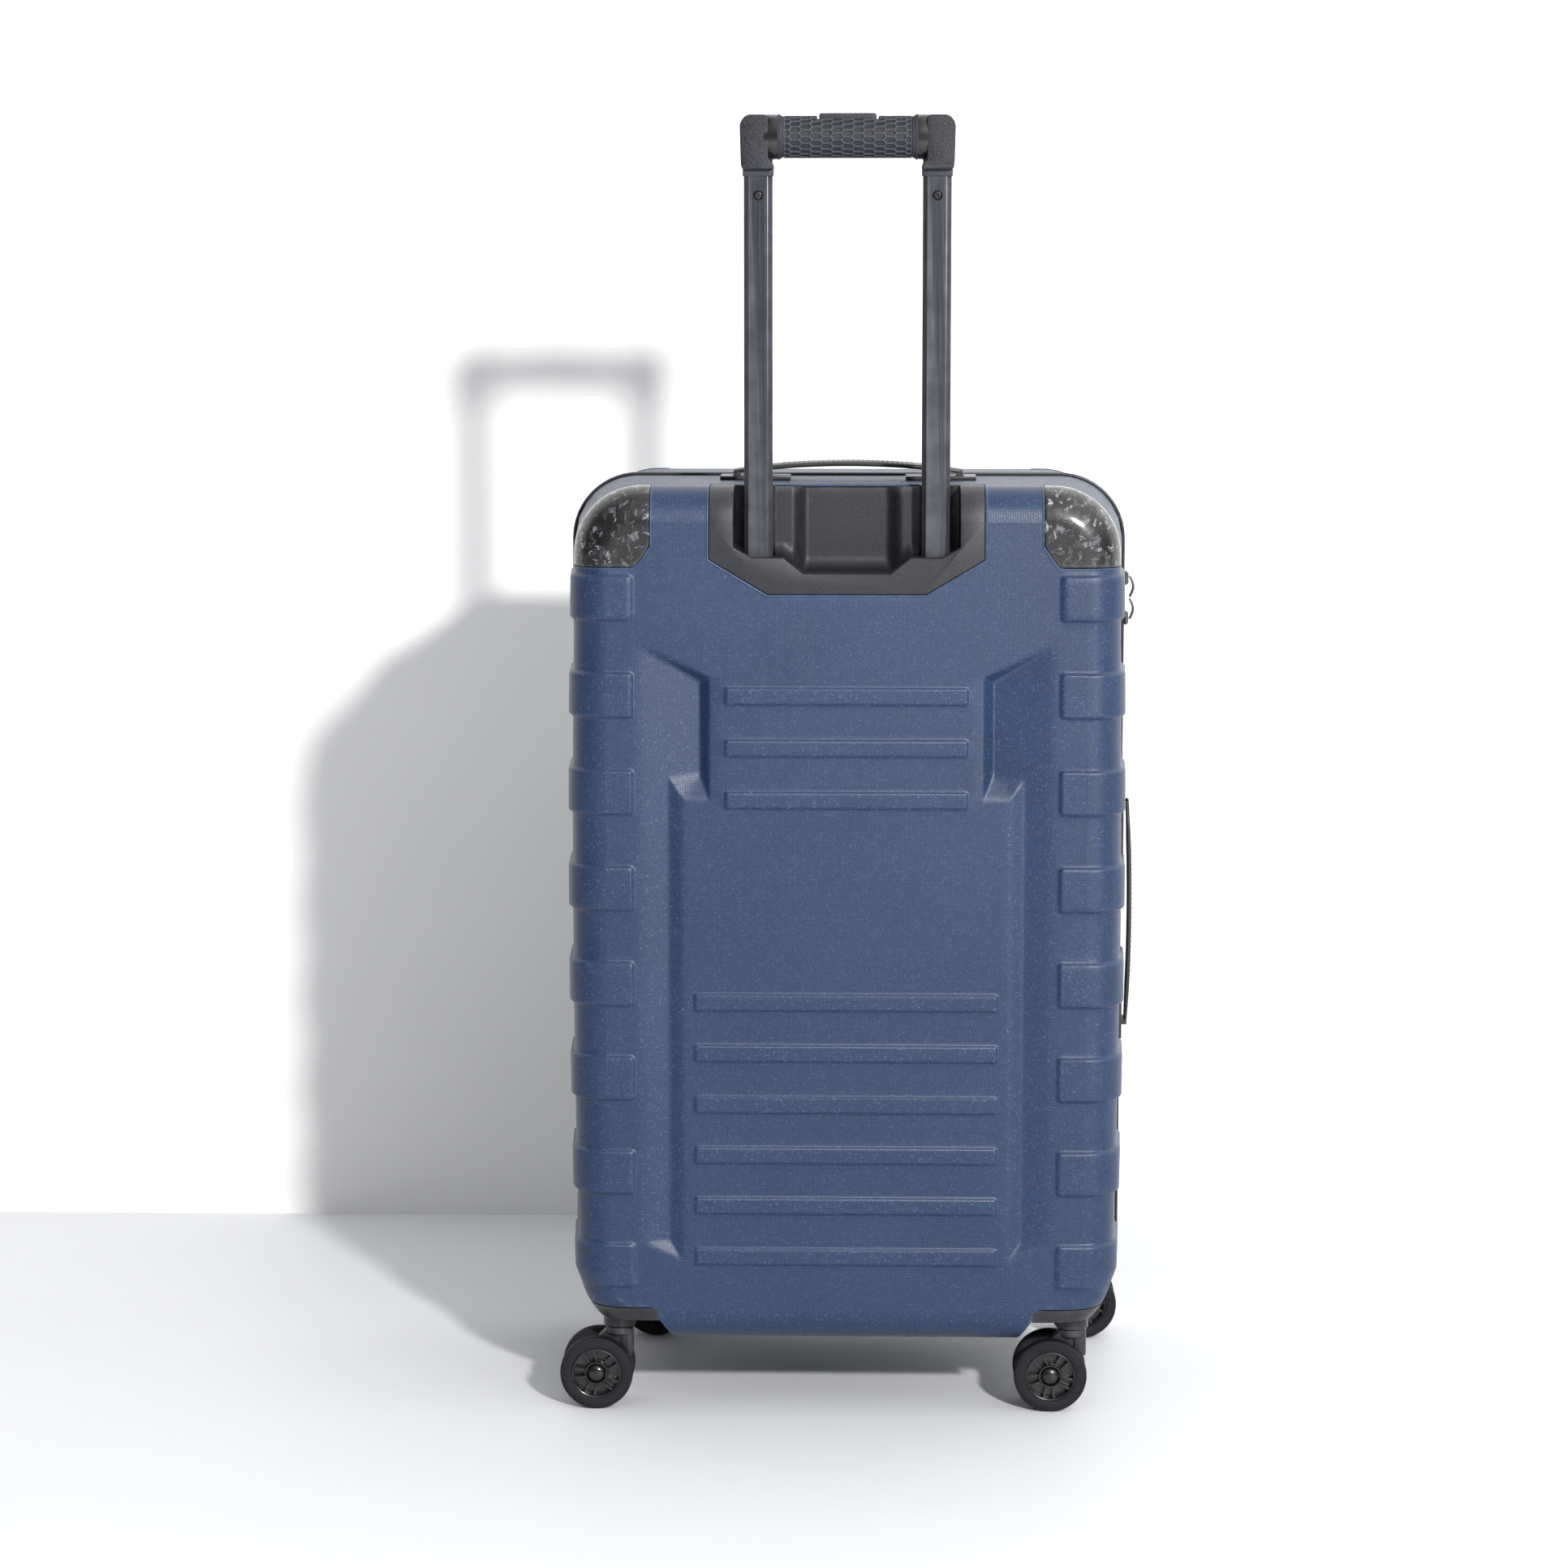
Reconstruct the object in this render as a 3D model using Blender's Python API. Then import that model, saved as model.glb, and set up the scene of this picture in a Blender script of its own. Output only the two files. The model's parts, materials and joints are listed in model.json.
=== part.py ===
# Hard shell suitcase on wheels. Metres, +Z up, origin on the floor under the middle of the body.
# The back half (trolley side) faces -Y and the front half, the lid, faces +Y; the zip lies at y = 0.
import math

import bmesh
import bpy
from mathutils import Vector

# Driving dimensions of the body
halfDepth = 0.152          # zip to the outer face of one half
halfWidth = 0.226          # body half width at the zip
draft = 0.0427             # narrowing of the half width per metre of depth
barrel = 0.0035            # extra narrowing of the sides 0.3 m above and below the middle
barrelMid = 0.412
bottomZ = 0.0608
topZ = 0.7565
topDraft = 0.014
cornerTop = 0.052          # outline corner radii
cornerBottom = 0.058
edgeRadius = 0.027         # rounding between the face and the sides
wall = 0.0032
rimDepth = 0.0036          # the shell's rim stops this far from the zip plane
gap = 0.0003
guardWall = 0.0020

# Side pads, ribs and facets of a face
padInnerX = 0.169
padHeight = 0.0384
padCentres = [0.6675, 0.5898, 0.5119, 0.4341, 0.3566, 0.2796, 0.2024, 0.1253]
padFaceRise = 0.0022
padSideRise = 0.0034
padReach = 0.062           # the pads stop this far from the zip plane
ribHeight = 0.0160
ribRise = 0.0018
upperRibs = [0.5892, 0.5476, 0.5058]
upperRibHalf = 0.0976
lowerRibs = [0.3419, 0.3003, 0.2582, 0.2167, 0.1751, 0.1329]
lowerRibHalf = 0.1226
facetDepth = 0.009
facetFlushX = 0.163
facetDeepX = 0.117
facetEdgeX = 0.109
lowerDeepX = 0.1415
lowerEdgeX = 0.1315

# Trolley
tubePitch = 0.0704
tubeWidth = 0.0226
tubeThick = 0.0140
tubeY = -0.131
tubeWall = 0.0014
gripBottomZ = 1.0120
gripTopZ = 1.0462
gripEndX = 0.0846
gripInnerX = 0.0510
innerTubeBottomZ = 0.640
outerTubeTopZ = 0.6940
outerTubeBottomZ = 0.0950
trayBackY = -0.105
flangeY = 0.110            # the tray's flange reaches this near to the zip plane over the top edge

# Casters
casterX = 0.1855
casterY = 0.113
casterTrail = 0.0182
wheelRadius = 0.0298
wheelZ = 0.0298
twinSpacing = 0.032
housingTopZ = 0.0903
housingBottomZ = 0.0790
pocketX = 0.1503
pocketY = 0.068
collarRadius = 0.0133
collarBottomZ = 0.0660
stemRadius = 0.0050

# Zip, lock and carry handles
zipX = 0.2283
sliderZ = {"upper": 0.6720, "lower": 0.6390}
pullPivotX = 0.2330
lockZ = 0.6530
lockY = 0.0230
handleY = -0.0430
handleLeg = 0.0908
sideHandleZ = 0.3995
hingeX = -0.2290


def clearScene():
    for item in list(bpy.data.objects):
        bpy.data.objects.remove(item, do_unlink=True)
    for mesh in list(bpy.data.meshes):
        bpy.data.meshes.remove(mesh)


def material(name, colour, roughness, metallic=0.0):
    mat = bpy.data.materials.new(name)
    mat.use_nodes = True
    shader = mat.node_tree.nodes["Principled BSDF"]
    shader.inputs["Base Color"].default_value = (*colour, 1.0)
    shader.inputs["Roughness"].default_value = roughness
    shader.inputs["Metallic"].default_value = metallic
    return mat


def toObject(name, bm):
    bmesh.ops.remove_doubles(bm, verts=bm.verts, dist=1e-7)
    bmesh.ops.recalc_face_normals(bm, faces=bm.faces)
    mesh = bpy.data.meshes.new(name)
    bm.to_mesh(mesh)
    bm.free()
    item = bpy.data.objects.new(name, mesh)
    bpy.context.scene.collection.objects.link(item)
    return item


def finish(item, name, mat, origin=(0.0, 0.0, 0.0), smoothAngle=35):
    # Names the piece, puts its origin on its joint axis and gives it its material.
    item.name = name
    mesh = item.data
    mesh.name = name
    shift = Vector(origin) - item.location
    for vert in mesh.vertices:
        vert.co -= shift
    item.location = origin
    mesh.materials.clear()
    mesh.materials.append(mat)
    mesh.shade_smooth()
    mesh.set_sharp_from_angle(angle=math.radians(smoothAngle))
    return item


def combine(item, tools, operation):
    for tool in tools:
        step = item.modifiers.new("step", "BOOLEAN")
        step.operation = operation
        step.solver = "EXACT"
        step.object = tool
        graph = bpy.context.evaluated_depsgraph_get()
        mesh = bpy.data.meshes.new_from_object(item.evaluated_get(graph))
        item.modifiers.clear()
        item.data = mesh
        bpy.data.objects.remove(tool, do_unlink=True)
    return item


def cut(item, *tools):
    return combine(item, tools, "DIFFERENCE")


def join(item, *tools):
    return combine(item, tools, "UNION")


def common(item, *tools):
    return combine(item, tools, "INTERSECT")


def loft(rings):
    # One closed solid through rings of the same number of points, with flat ends.
    bm = bmesh.new()
    loops = [[bm.verts.new(point) for point in ring] for ring in rings]
    count = len(loops[0])
    for lower, upper in zip(loops, loops[1:]):
        for i in range(count):
            j = (i + 1) % count
            bm.faces.new((lower[i], lower[j], upper[j], upper[i]))
    bm.faces.new(loops[0])
    bm.faces.new(loops[-1])
    return toObject("solid", bm)


def band(rings):
    # The same, closed round on itself: the last ring joins the first, as in a frame.
    bm = bmesh.new()
    loops = [[bm.verts.new(point) for point in ring] for ring in rings]
    count = len(loops[0])
    for k, lower in enumerate(loops):
        upper = loops[(k + 1) % len(loops)]
        for i in range(count):
            j = (i + 1) % count
            bm.faces.new((lower[i], lower[j], upper[j], upper[i]))
    return toObject("solid", bm)


def box(x0, x1, y0, y1, z0, z1):
    ring = [(x0, y0), (x1, y0), (x1, y1), (x0, y1)]
    return loft([[(x, y, z) for x, y in ring] for z in (z0, z1)])


def prism(points, axis, start, end):
    # An outline of two coordinates pushed along the third.
    place = {
        "X": lambda a, b, t: (t, a, b),
        "Y": lambda a, b, t: (a, t, b),
        "Z": lambda a, b, t: (a, b, t),
    }[axis]
    return loft([[place(a, b, t) for a, b in points] for t in (start, end)])


def hull(points):
    bm = bmesh.new()
    for point in points:
        bm.verts.new(point)
    result = bmesh.ops.convex_hull(bm, input=bm.verts)
    spare = [v for v in result["geom_interior"] if isinstance(v, bmesh.types.BMVert)]
    bmesh.ops.delete(bm, geom=spare, context="VERTS")
    return toObject("solid", bm)


def turned(profile, axis, centre, segments, phase=0.0):
    # A profile of (radius, along) pairs turned round an axis through centre.
    cx, cy, cz = centre
    place = {
        "Y": lambda a, b, t: (cx + a, cy + t, cz + b),
        "Z": lambda a, b, t: (cx + a, cy + b, cz + t),
    }[axis]
    bm = bmesh.new()
    loops = []
    for radius, along in profile:
        if radius == 0.0:
            loops.append([bm.verts.new(place(0.0, 0.0, along))])
            continue
        angles = [2 * math.pi * (i + phase) / segments for i in range(segments)]
        loops.append([bm.verts.new(place(radius * math.cos(a), radius * math.sin(a), along)) for a in angles])
    pairs = list(zip(loops, loops[1:]))
    if profile[0][0] > 0.0:
        pairs.append((loops[-1], loops[0]))
    for lower, upper in pairs:
        for i in range(segments):
            j = (i + 1) % segments
            if len(lower) == 1:
                bm.faces.new((lower[0], upper[j], upper[i]))
            elif len(upper) == 1:
                bm.faces.new((lower[i], lower[j], upper[0]))
            else:
                bm.faces.new((lower[i], lower[j], upper[j], upper[i]))
    return toObject("solid", bm)


def cylinder(radius, axis, centre, start, end, segments=16, phase=0.5):
    return turned([(0.0, start), (radius, start), (radius, end), (0.0, end)], axis, centre, segments, phase)


def sideWidth(depth, z):
    # Half width of the body at a depth from the zip plane and at a height.
    bulge = barrel * ((z - barrelMid) / 0.3) ** 2 * min(1.0, depth / 0.110)
    return halfWidth - draft * depth - bulge


def outline(depth, inset, arcSteps=5, sideSteps=4):
    # The body's outline at a depth, moved inwards by inset, as (x, z) points anticlockwise.
    top = topZ - topDraft * depth - inset
    bottom = bottomZ + inset
    corners = [(1, bottom, cornerBottom), (1, top, cornerTop), (-1, top, cornerTop), (-1, bottom, cornerBottom)]
    points = []
    for k, (side, level, radius) in enumerate(corners):
        r = max(radius - inset, 0.004)
        up = 1 if level == bottom else -1
        centreZ = level + up * r
        start = -90 + 90 * k
        for i in range(arcSteps + 1):
            angle = math.radians(start + 90 * i / arcSteps)
            z = centreZ + r * math.sin(angle)
            width = sideWidth(depth, z) - inset
            points.append((side * (width - r) + r * math.cos(angle), z))
        if k in (0, 2):
            nextR = max(corners[k + 1][2] - inset, 0.004)
            goal = top - nextR if k == 0 else bottom + nextR
            for i in range(1, sideSteps):
                z = centreZ + (goal - centreZ) * i / sideSteps
                points.append((side * (sideWidth(depth, z) - inset), z))
    return points


def bodySolid(side, grow=0.0, near=rimDepth, far=None, edgeSteps=4):
    # One half of the body as a plain solid, grown outwards (or inwards) by an even amount.
    # side is -1 for the back half and 1 for the front half.
    face = halfDepth + grow if far is None else far
    radius = max(edgeRadius + grow, 0.006)
    levels = [(near, 0.0), (0.110, 0.0)]
    for i in range(edgeSteps + 1):
        angle = math.radians(90 * i / edgeSteps)
        levels.append((face - radius + radius * math.sin(angle), radius * (1 - math.cos(angle))))
    levels = [level for k, level in enumerate(levels) if k != 1 or level[0] < face - radius - 0.004]
    rings = []
    for depth, inset in levels:
        ring = outline(min(depth, halfDepth), inset - grow)
        rings.append([(x, side * depth, z) for x, z in ring])
    return loft(rings)


def pads(side):
    # Raised blocks that wrap from the face round the edge on to the side.
    solids = []
    for z in padCentres:
        for hand in (-1, 1):
            centre = sideWidth(halfDepth - edgeRadius, z) - edgeRadius
            outer = [(padInnerX, halfDepth + padFaceRise)]
            inner = [(padInnerX, halfDepth - wall / 2)]
            for i in range(6):
                angle = math.radians(90 - 18 * i)
                rise = padFaceRise + (padSideRise - padFaceRise) * i / 5
                for path, extra in ((outer, rise), (inner, -wall / 2)):
                    reach = edgeRadius + extra
                    path.append((centre + reach * math.cos(angle), halfDepth - edgeRadius + reach * math.sin(angle)))
            outer.append((sideWidth(padReach, z) + padSideRise, padReach))
            inner.append((sideWidth(padReach, z) - wall / 2, padReach))
            ring = [(hand * x, side * y) for x, y in outer + inner[::-1]]
            solids.append(prism(ring, "Z", z - padHeight / 2, z + padHeight / 2))
    return solids


def ribs(side):
    solids = []
    for levels, reach in ((upperRibs, upperRibHalf), (lowerRibs, lowerRibHalf)):
        for z in levels:
            depths = sorted((side * (halfDepth - 0.001), side * (halfDepth + ribRise)))
            solids.append(box(-reach, reach, *depths, z - ribHeight / 2, z + ribHeight / 2))
    return solids


def facetCutters(side):
    # Inclined planes that sink from the edge column to a steep wall beside the middle panel.
    lowerDepth = facetDepth * (facetFlushX - lowerDeepX) / (facetFlushX - facetDeepX)
    upper = [
        (facetFlushX, 0.629, 0.0), (facetEdgeX, 0.6046, 0.0), (facetDeepX, 0.600, facetDepth),
        (facetDeepX, 0.5253, facetDepth), (facetEdgeX, 0.507, 0.0), (lowerEdgeX, 0.507, 0.0),
        (lowerDeepX, 0.5278, lowerDepth), (facetFlushX, 0.520, 0.0),
    ]
    lower = [
        (facetFlushX, 0.560, 0.0), (lowerDeepX, 0.545, lowerDepth), (lowerEdgeX, 0.535, 0.0),
        (lowerEdgeX, 0.1303, 0.0), (lowerDeepX, 0.1457, lowerDepth), (facetFlushX, 0.145, 0.0),
    ]
    solids = []
    for shape in (upper, lower):
        for hand in (-1, 1):
            rim = [(hand * x, side * (halfDepth + 0.004), z) for x, z, sink in shape if sink == 0.0]
            points = [(hand * x, side * (halfDepth - sink), z) for x, z, sink in shape]
            solids.append(hull(points + rim))
    return solids


def facetBacking(side):
    depths = sorted((side * (halfDepth - 0.0128), side * (halfDepth - 0.0010)))
    return [box(*sorted((hand * 0.1045, hand * 0.1675)), *depths, 0.122, 0.636) for hand in (-1, 1)]


def guardRegion(side, hand, spread):
    # The corner covers' outline seen from the face: a square corner with its inner corner cut off.
    x0 = 0.1565 - spread
    z0 = 0.6918 - spread
    corner = 0.0155 + 0.6 * spread
    points = [(x0, 0.80), (x0, z0 + corner + 0.0015), (x0 + corner, z0), (0.26, z0), (0.26, 0.80)]
    depths = sorted((side * (0.118 - spread), side * 0.20))
    return prism([(hand * x, z) for x, z in points], "Y", *depths)


def housingPocket(side, hand):
    # Room for a caster housing, with the slanted end of the belly beside it.
    points = [
        (pocketX + 0.009, housingTopZ), (pocketX + 0.0026, housingTopZ - 0.0026), (pocketX, housingTopZ - 0.009),
        (pocketX, housingBottomZ), (0.1385, bottomZ - 0.001), (0.1385, 0.05), (0.26, 0.05), (0.26, housingTopZ),
    ]
    depths = sorted((side * pocketY, side * 0.20))
    return prism([(hand * x, z) for x, z in points], "Y", *depths)


def trayOutline(spread):
    half = [(0.0628 + 0.5 * spread, 0.6706 - spread), (0.1092 + spread, 0.6983 - 0.5 * spread), (0.1092 + spread, 0.80)]
    return half + [(-x, z) for x, z in half[::-1]]


def trayInner(spread):
    half = [
        (0.0346, 0.6868 - spread), (0.0504 + 0.2 * spread, 0.6995 - spread),
        (0.0753 + 0.3 * spread, 0.6995 - spread), (0.0899 + spread, 0.7079 - 0.5 * spread), (0.0899 + spread, 0.80),
    ]
    return half + [(-x, z) for x, z in half[::-1]]


def shell(side):
    item = cut(bodySolid(side), bodySolid(side, -wall, near=rimDepth - 0.01))
    join(item, *facetBacking(side), *pads(side), *ribs(side))
    cut(item, *facetCutters(side))
    for hand in (-1, 1):
        cut(item, cut(guardRegion(side, hand, gap), bodySolid(side, -guardWall)))
        cut(item, housingPocket(side, hand))
    return item


def carryBase(place):
    # place turns (along, out, across) into world coordinates; out is the height over the body's surface.
    def block(a0, a1, o0, o1, c):
        corners = [place(a, o, s) for a in (a0, a1) for o in (o0, o1) for s in (-c, c)]
        return hull(corners)
    item = block(-0.0975, 0.0975, -0.0056, -0.0036, 0.0070)
    for hand in (-1, 1):
        a0, a1 = sorted((hand * 0.0855, hand * 0.0965))
        join(item, block(a0, a1, -0.0100, 0.0012, 0.0125))
        f0, f1 = sorted((hand * 0.0470, hand * 0.1040))
        join(item, block(f0, f1, 0.0004, 0.0030, 0.0150))
        c0, c1 = sorted((hand * (handleLeg - 0.0028), hand * (handleLeg + 0.0028)))
        cut(item, block(c0, c1, -0.0091, 0.010, 0.0109))
    return item


def carryHoles(place):
    solids = []
    for hand in (-1, 1):
        a0, a1 = sorted((hand * 0.0852, hand * 0.0968))
        corners = [place(a, o, s) for a in (a0, a1) for o in (-0.020, 0.020) for s in (-0.0128, 0.0128)]
        solids.append(hull(corners))
    return solids


def carryStrap(place, restOut, peakOut, thick):
    # The arch is a parabola between the legs; each leg goes down into its pocket.
    steps = 8
    upper = []
    lower = []
    for i in range(-steps, steps + 1):
        along = (handleLeg + 0.0022) * i / steps
        height = restOut + (peakOut - restOut) * (1 - (i / steps) ** 2)
        upper.append((along, height))
        lower.append((along, height - thick))
    ring = upper + lower[::-1]
    item = loft([[place(a, o, s) for a, o in ring] for s in (-0.0130, 0.0130)])
    for hand in (-1, 1):
        a0, a1 = sorted((hand * (handleLeg - 0.0022), hand * (handleLeg + 0.0022)))
        corners = [place(a, o, s) for a in (a0, a1) for o in (-0.0085, restOut - 0.002) for s in (-0.0104, 0.0104)]
        join(item, hull(corners))
    return item


def topPlace(along, out, across):
    y = handleY + across
    return (along, y, topZ - topDraft * abs(y) + out)


def sidePlace(along, out, across):
    y = handleY + across
    return (sideWidth(abs(y), sideHandleZ) + out, y, sideHandleZ + along)


def makeShells(plastic):
    back = shell(-1)
    cut(back, prism(trayOutline(gap), "Y", -0.20, gap - flangeY))
    cut(back, box(-0.0929, 0.0929, -0.1495, trayBackY + 0.0035, 0.70, 0.80))
    cut(back, *carryHoles(topPlace), *carryHoles(sidePlace))
    finish(back, "back_shell", plastic)
    front = shell(1)
    pocket = box(0.20, 0.24, lockY - 0.0143, lockY + 0.0143, lockZ - 0.0363, lockZ + 0.0363)
    finish(cut(front, pocket), "front_shell", plastic, (hingeX, 0.0, 0.0))


def makeGuards(carbon):
    for sideName, side in (("back", -1), ("front", 1)):
        for handName, hand in (("left", -1), ("right", 1)):
            item = common(bodySolid(side, 0.0006, edgeSteps=5), guardRegion(side, hand, 0.0))
            cut(item, bodySolid(side, gap - guardWall, near=-0.01))
            finish(item, f"corner_guard_{sideName}_{handName}", carbon)


def makeTray(plastic):
    flange = common(bodySolid(-1, 0.0004, edgeSteps=5), prism(trayOutline(0.0), "Y", -0.20, -flangeY))
    cut(flange, bodySolid(-1, -0.0035, near=-0.01))
    cupY = trayBackY + 0.0030
    cup = common(bodySolid(-1, 0.0004, edgeSteps=5), prism(trayInner(0.0026), "Y", -0.20, cupY))
    join(cup, flange)
    cut(cup, prism(trayInner(0.0), "Y", -0.20, trayBackY - 0.010))
    bay = [(-0.0346, 0.6868), (0.0346, 0.6868), (0.0346, 0.80), (-0.0346, 0.80)]
    cut(cup, prism(bay, "Y", -0.135, trayBackY))
    for hand in (-1, 1):
        cut(cup, tubeBlock(hand * tubePitch, 0.0006, 0.60, 0.74))
    finish(cup, "handle_tray", plastic)


def tubeBlock(x, spread, z0, z1, chamfer=0.0035):
    # A tube's section is a rectangle with its corners cut off.
    a = tubeWidth / 2 + spread
    b = tubeThick / 2 + spread
    c = max(chamfer + 0.6 * spread, 0.0008)
    ring = [(a, -b + c), (a, b - c), (a - c, b), (c - a, b), (-a, b - c), (-a, c - b), (c - a, -b), (a - c, -b)]
    return prism([(x + u, tubeY + v) for u, v in ring], "Z", z0, z1)


def gripBar(halfThick, halfTall, reach, steps=20):
    # An oval bar along the grip.
    angles = [2 * math.pi * i / steps for i in range(steps)]
    centreZ = (gripBottomZ + gripTopZ) / 2
    ring = [(tubeY + halfThick * math.cos(a), centreZ + halfTall * math.sin(a)) for a in angles]
    return prism(ring, "X", -reach, reach)


def makeTrolley(alloy, darkAlloy, plastic, rubber, steel):
    centreZ = (gripBottomZ + gripTopZ) / 2
    tubeTop = gripBottomZ + 0.004
    for name, hand in (("left", -1), ("right", 1)):
        x = hand * tubePitch
        outer = tubeBlock(x, 0.0016, outerTubeBottomZ, outerTubeTopZ)
        cut(outer, tubeBlock(x, 0.0004, outerTubeBottomZ - 0.01, outerTubeTopZ + 0.01))
        finish(outer, f"outer_tube_{name}", darkAlloy)
        inner = tubeBlock(x, 0.0, innerTubeBottomZ, tubeTop)
        cut(inner, tubeBlock(x, -tubeWall, innerTubeBottomZ - 0.01, tubeTop + 0.01))
        screwZ = 0.9836
        frontY = tubeY - tubeThick / 2
        hole = cylinder(0.0037, "Y", (x, frontY, screwZ), -0.002, 0.0030, 12)
        finish(cut(inner, hole), f"inner_tube_{name}", alloy)
        # The screw sits below the tube's face, so the outer tube slides over it.
        screw = turned([(0.0, 0.0004), (0.0026, 0.0004), (0.0033, 0.0010), (0.0018, 0.0019), (0.0018, 0.0040),
                        (0.0, 0.0040)], "Y", (x, frontY, screwZ), 12)
        finish(screw, f"tube_screw_{name}", steel)
    core = gripBar(0.0112, 0.0125, gripInnerX + 0.01)
    for hand in (-1, 1):
        cap = [(hand * gripInnerX, gripTopZ - 0.001), (hand * 0.0790, gripTopZ), (hand * gripEndX, gripTopZ - 0.006),
               (hand * (gripEndX - 0.001), 1.0075), (hand * (tubePitch + 0.0125), 1.0040),
               (hand * (tubePitch - 0.0125), 1.0040), (hand * (tubePitch - 0.0125), 1.0080),
               (hand * gripInnerX, 1.0110)]
        join(core, prism(cap, "Y", tubeY - 0.0160, tubeY + 0.0160))
    for hand in (-1, 1):
        cut(core, tubeBlock(hand * tubePitch, gap, 0.99, tubeTop + gap))
        x0, x1 = sorted((hand * 0.0664, hand * 0.0744))
        cut(core, box(x0, x1, tubeY - 0.0040, tubeY + 0.0040, tubeTop - 0.002, centreZ + 0.004))
    cut(core, box(-0.0740, 0.0740, tubeY - 0.0042, tubeY + 0.0042, centreZ - 0.0070, centreZ + 0.0040))
    cut(core, box(-0.0103, 0.0103, tubeY - 0.0042, tubeY + 0.0042, centreZ, gripTopZ + 0.01))
    cut(core, box(-0.0230, 0.0230, tubeY - 0.0060, tubeY + 0.0060, centreZ + 0.0070, gripTopZ + 0.01))
    finish(core, "grip_core", plastic, (0.0, tubeY, centreZ))
    sleeve = cut(gripBar(0.0148, 0.0165, gripInnerX - gap), gripBar(0.0115, 0.0128, gripInnerX + 0.01))
    cut(sleeve, box(-0.0230, 0.0230, tubeY - 0.0060, tubeY + 0.0060, centreZ, gripTopZ + 0.01))
    finish(sleeve, "grip_sleeve", rubber, (0.0, tubeY, centreZ))
    button = box(-0.0225, 0.0225, tubeY - 0.0055, tubeY + 0.0055, centreZ + 0.0120, gripTopZ + 0.0006)
    stem = box(-0.0100, 0.0100, tubeY - 0.0038, tubeY + 0.0038, centreZ + 0.0023, centreZ + 0.0125)
    finish(join(button, stem), "push_button", plastic, (0.0, tubeY, gripTopZ))
    yoke = box(-0.0725, 0.0725, tubeY - 0.0035, tubeY + 0.0035, centreZ - 0.0020, centreZ + 0.0020)
    for hand in (-1, 1):
        x = hand * tubePitch
        join(yoke, box(x - 0.002, x + 0.002, tubeY - 0.0020, tubeY + 0.0020, innerTubeBottomZ + 0.005, centreZ))
    finish(yoke, "release_yoke", steel, (0.0, tubeY, centreZ))
    foot = box(-0.0960, 0.0960, tubeY - 0.0125, tubeY + 0.0105, 0.0870, 0.1100)
    for hand in (-1, 1):
        cut(foot, tubeBlock(hand * tubePitch, 0.0019, outerTubeBottomZ - gap, 0.20))
    finish(foot, "tube_foot_bracket", plastic)


def makeCarryHandles(plastic, rubber):
    finish(carryBase(topPlace), "top_handle_base", plastic)
    finish(carryStrap(topPlace, 0.0085, 0.0150, 0.0042), "top_handle", rubber, topPlace(0.0, 0.012, 0.0))
    finish(carryBase(sidePlace), "side_handle_base", plastic)
    finish(carryStrap(sidePlace, 0.0078, 0.0103, 0.0040), "side_handle", rubber, sidePlace(0.0, 0.008, 0.0))


def zipRing(side):
    # A flat tape with the piping that stands a little proud of the shells.
    rings = []
    for inset, depth in ((-0.0023, 0.00015), (-0.0023, 0.0026), (-0.0010, 0.0033), (0.0060, 0.0033), (0.0060, 0.00015)):
        rings.append([(x, side * depth, z) for x, z in outline(0.0, inset)])
    return band(rings)


def makeZip(tape, metal):
    finish(zipRing(-1), "zip_back", tape)
    finish(zipRing(1), "zip_front", tape, (hingeX, 0.0, 0.0))
    for name, turn in (("upper", 1), ("lower", -1)):
        z = sliderZ[name]
        block = [(zipX + gap, -0.0060), (zipX + 0.0032, -0.0045), (zipX + 0.0032, 0.0045), (zipX + gap, 0.0060)]
        slider = prism([(x, z + b) for x, b in block], "Y", -0.0045, 0.0045)
        finish(slider, f"zip_slider_{name}", metal, (zipX, 0.0, z))
        # The pull tab bows outwards from its pivot and comes back to the body.
        outer = []
        inner = []
        for i in range(7):
            t = i / 6
            x = pullPivotX + 0.0026 * math.sin(math.pi * t)
            at = z - turn * (0.0155 * t - 0.0005)
            outer.append((x + 0.0010, at))
            inner.append((x - 0.0010, at))
        pull = prism(outer + inner[::-1], "Y", -0.0035, 0.0035)
        finish(pull, f"zip_pull_{name}", metal, (pullPivotX, 0.0, z))


def makeLock(plastic, metal):
    face = sideWidth(lockY, lockZ) + 0.0009
    housing = box(face - 0.0098, face, lockY - 0.0140, lockY + 0.0140, lockZ - 0.0360, lockZ + 0.0360)
    dialZ = [lockZ - 0.0200, lockZ - 0.0125, lockZ - 0.0050]
    for z in dialZ:
        cut(housing, box(face - 0.0092, face + 0.01, lockY - 0.0053, lockY + 0.0053, z - 0.0028, z + 0.0028))
    slot = box(face - 0.0025, face + 0.01, lockY - 0.0060, lockY + 0.0060, lockZ + 0.0060, lockZ + 0.0220)
    finish(cut(housing, slot), "lock_housing", plastic)
    for k, z in enumerate(dialZ):
        centre = (face - 0.0038, lockY, z)
        finish(cylinder(0.0048, "Z", centre, -0.0025, 0.0025, 20), f"lock_dial_{k + 1}", metal, centre)
    latch = box(face - 0.0022, face + 0.0014, lockY - 0.0055, lockY + 0.0055, lockZ + 0.0130, lockZ + 0.0215)
    finish(latch, "lock_latch", metal, (face, lockY, lockZ + 0.017))


def liningTub(side, inset, far, near):
    return bodySolid(side, -inset, near=near, far=far)


def wheelWells(side, spread):
    solids = []
    for hand in (-1, 1):
        xs = sorted((hand * (pocketX - 0.0030 - spread), hand * 0.26))
        ys = sorted((side * (pocketY - 0.0030 - spread), side * 0.20))
        solids.append(box(*xs, *ys, 0.0, housingTopZ + 0.0035 + spread))
    return solids


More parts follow.
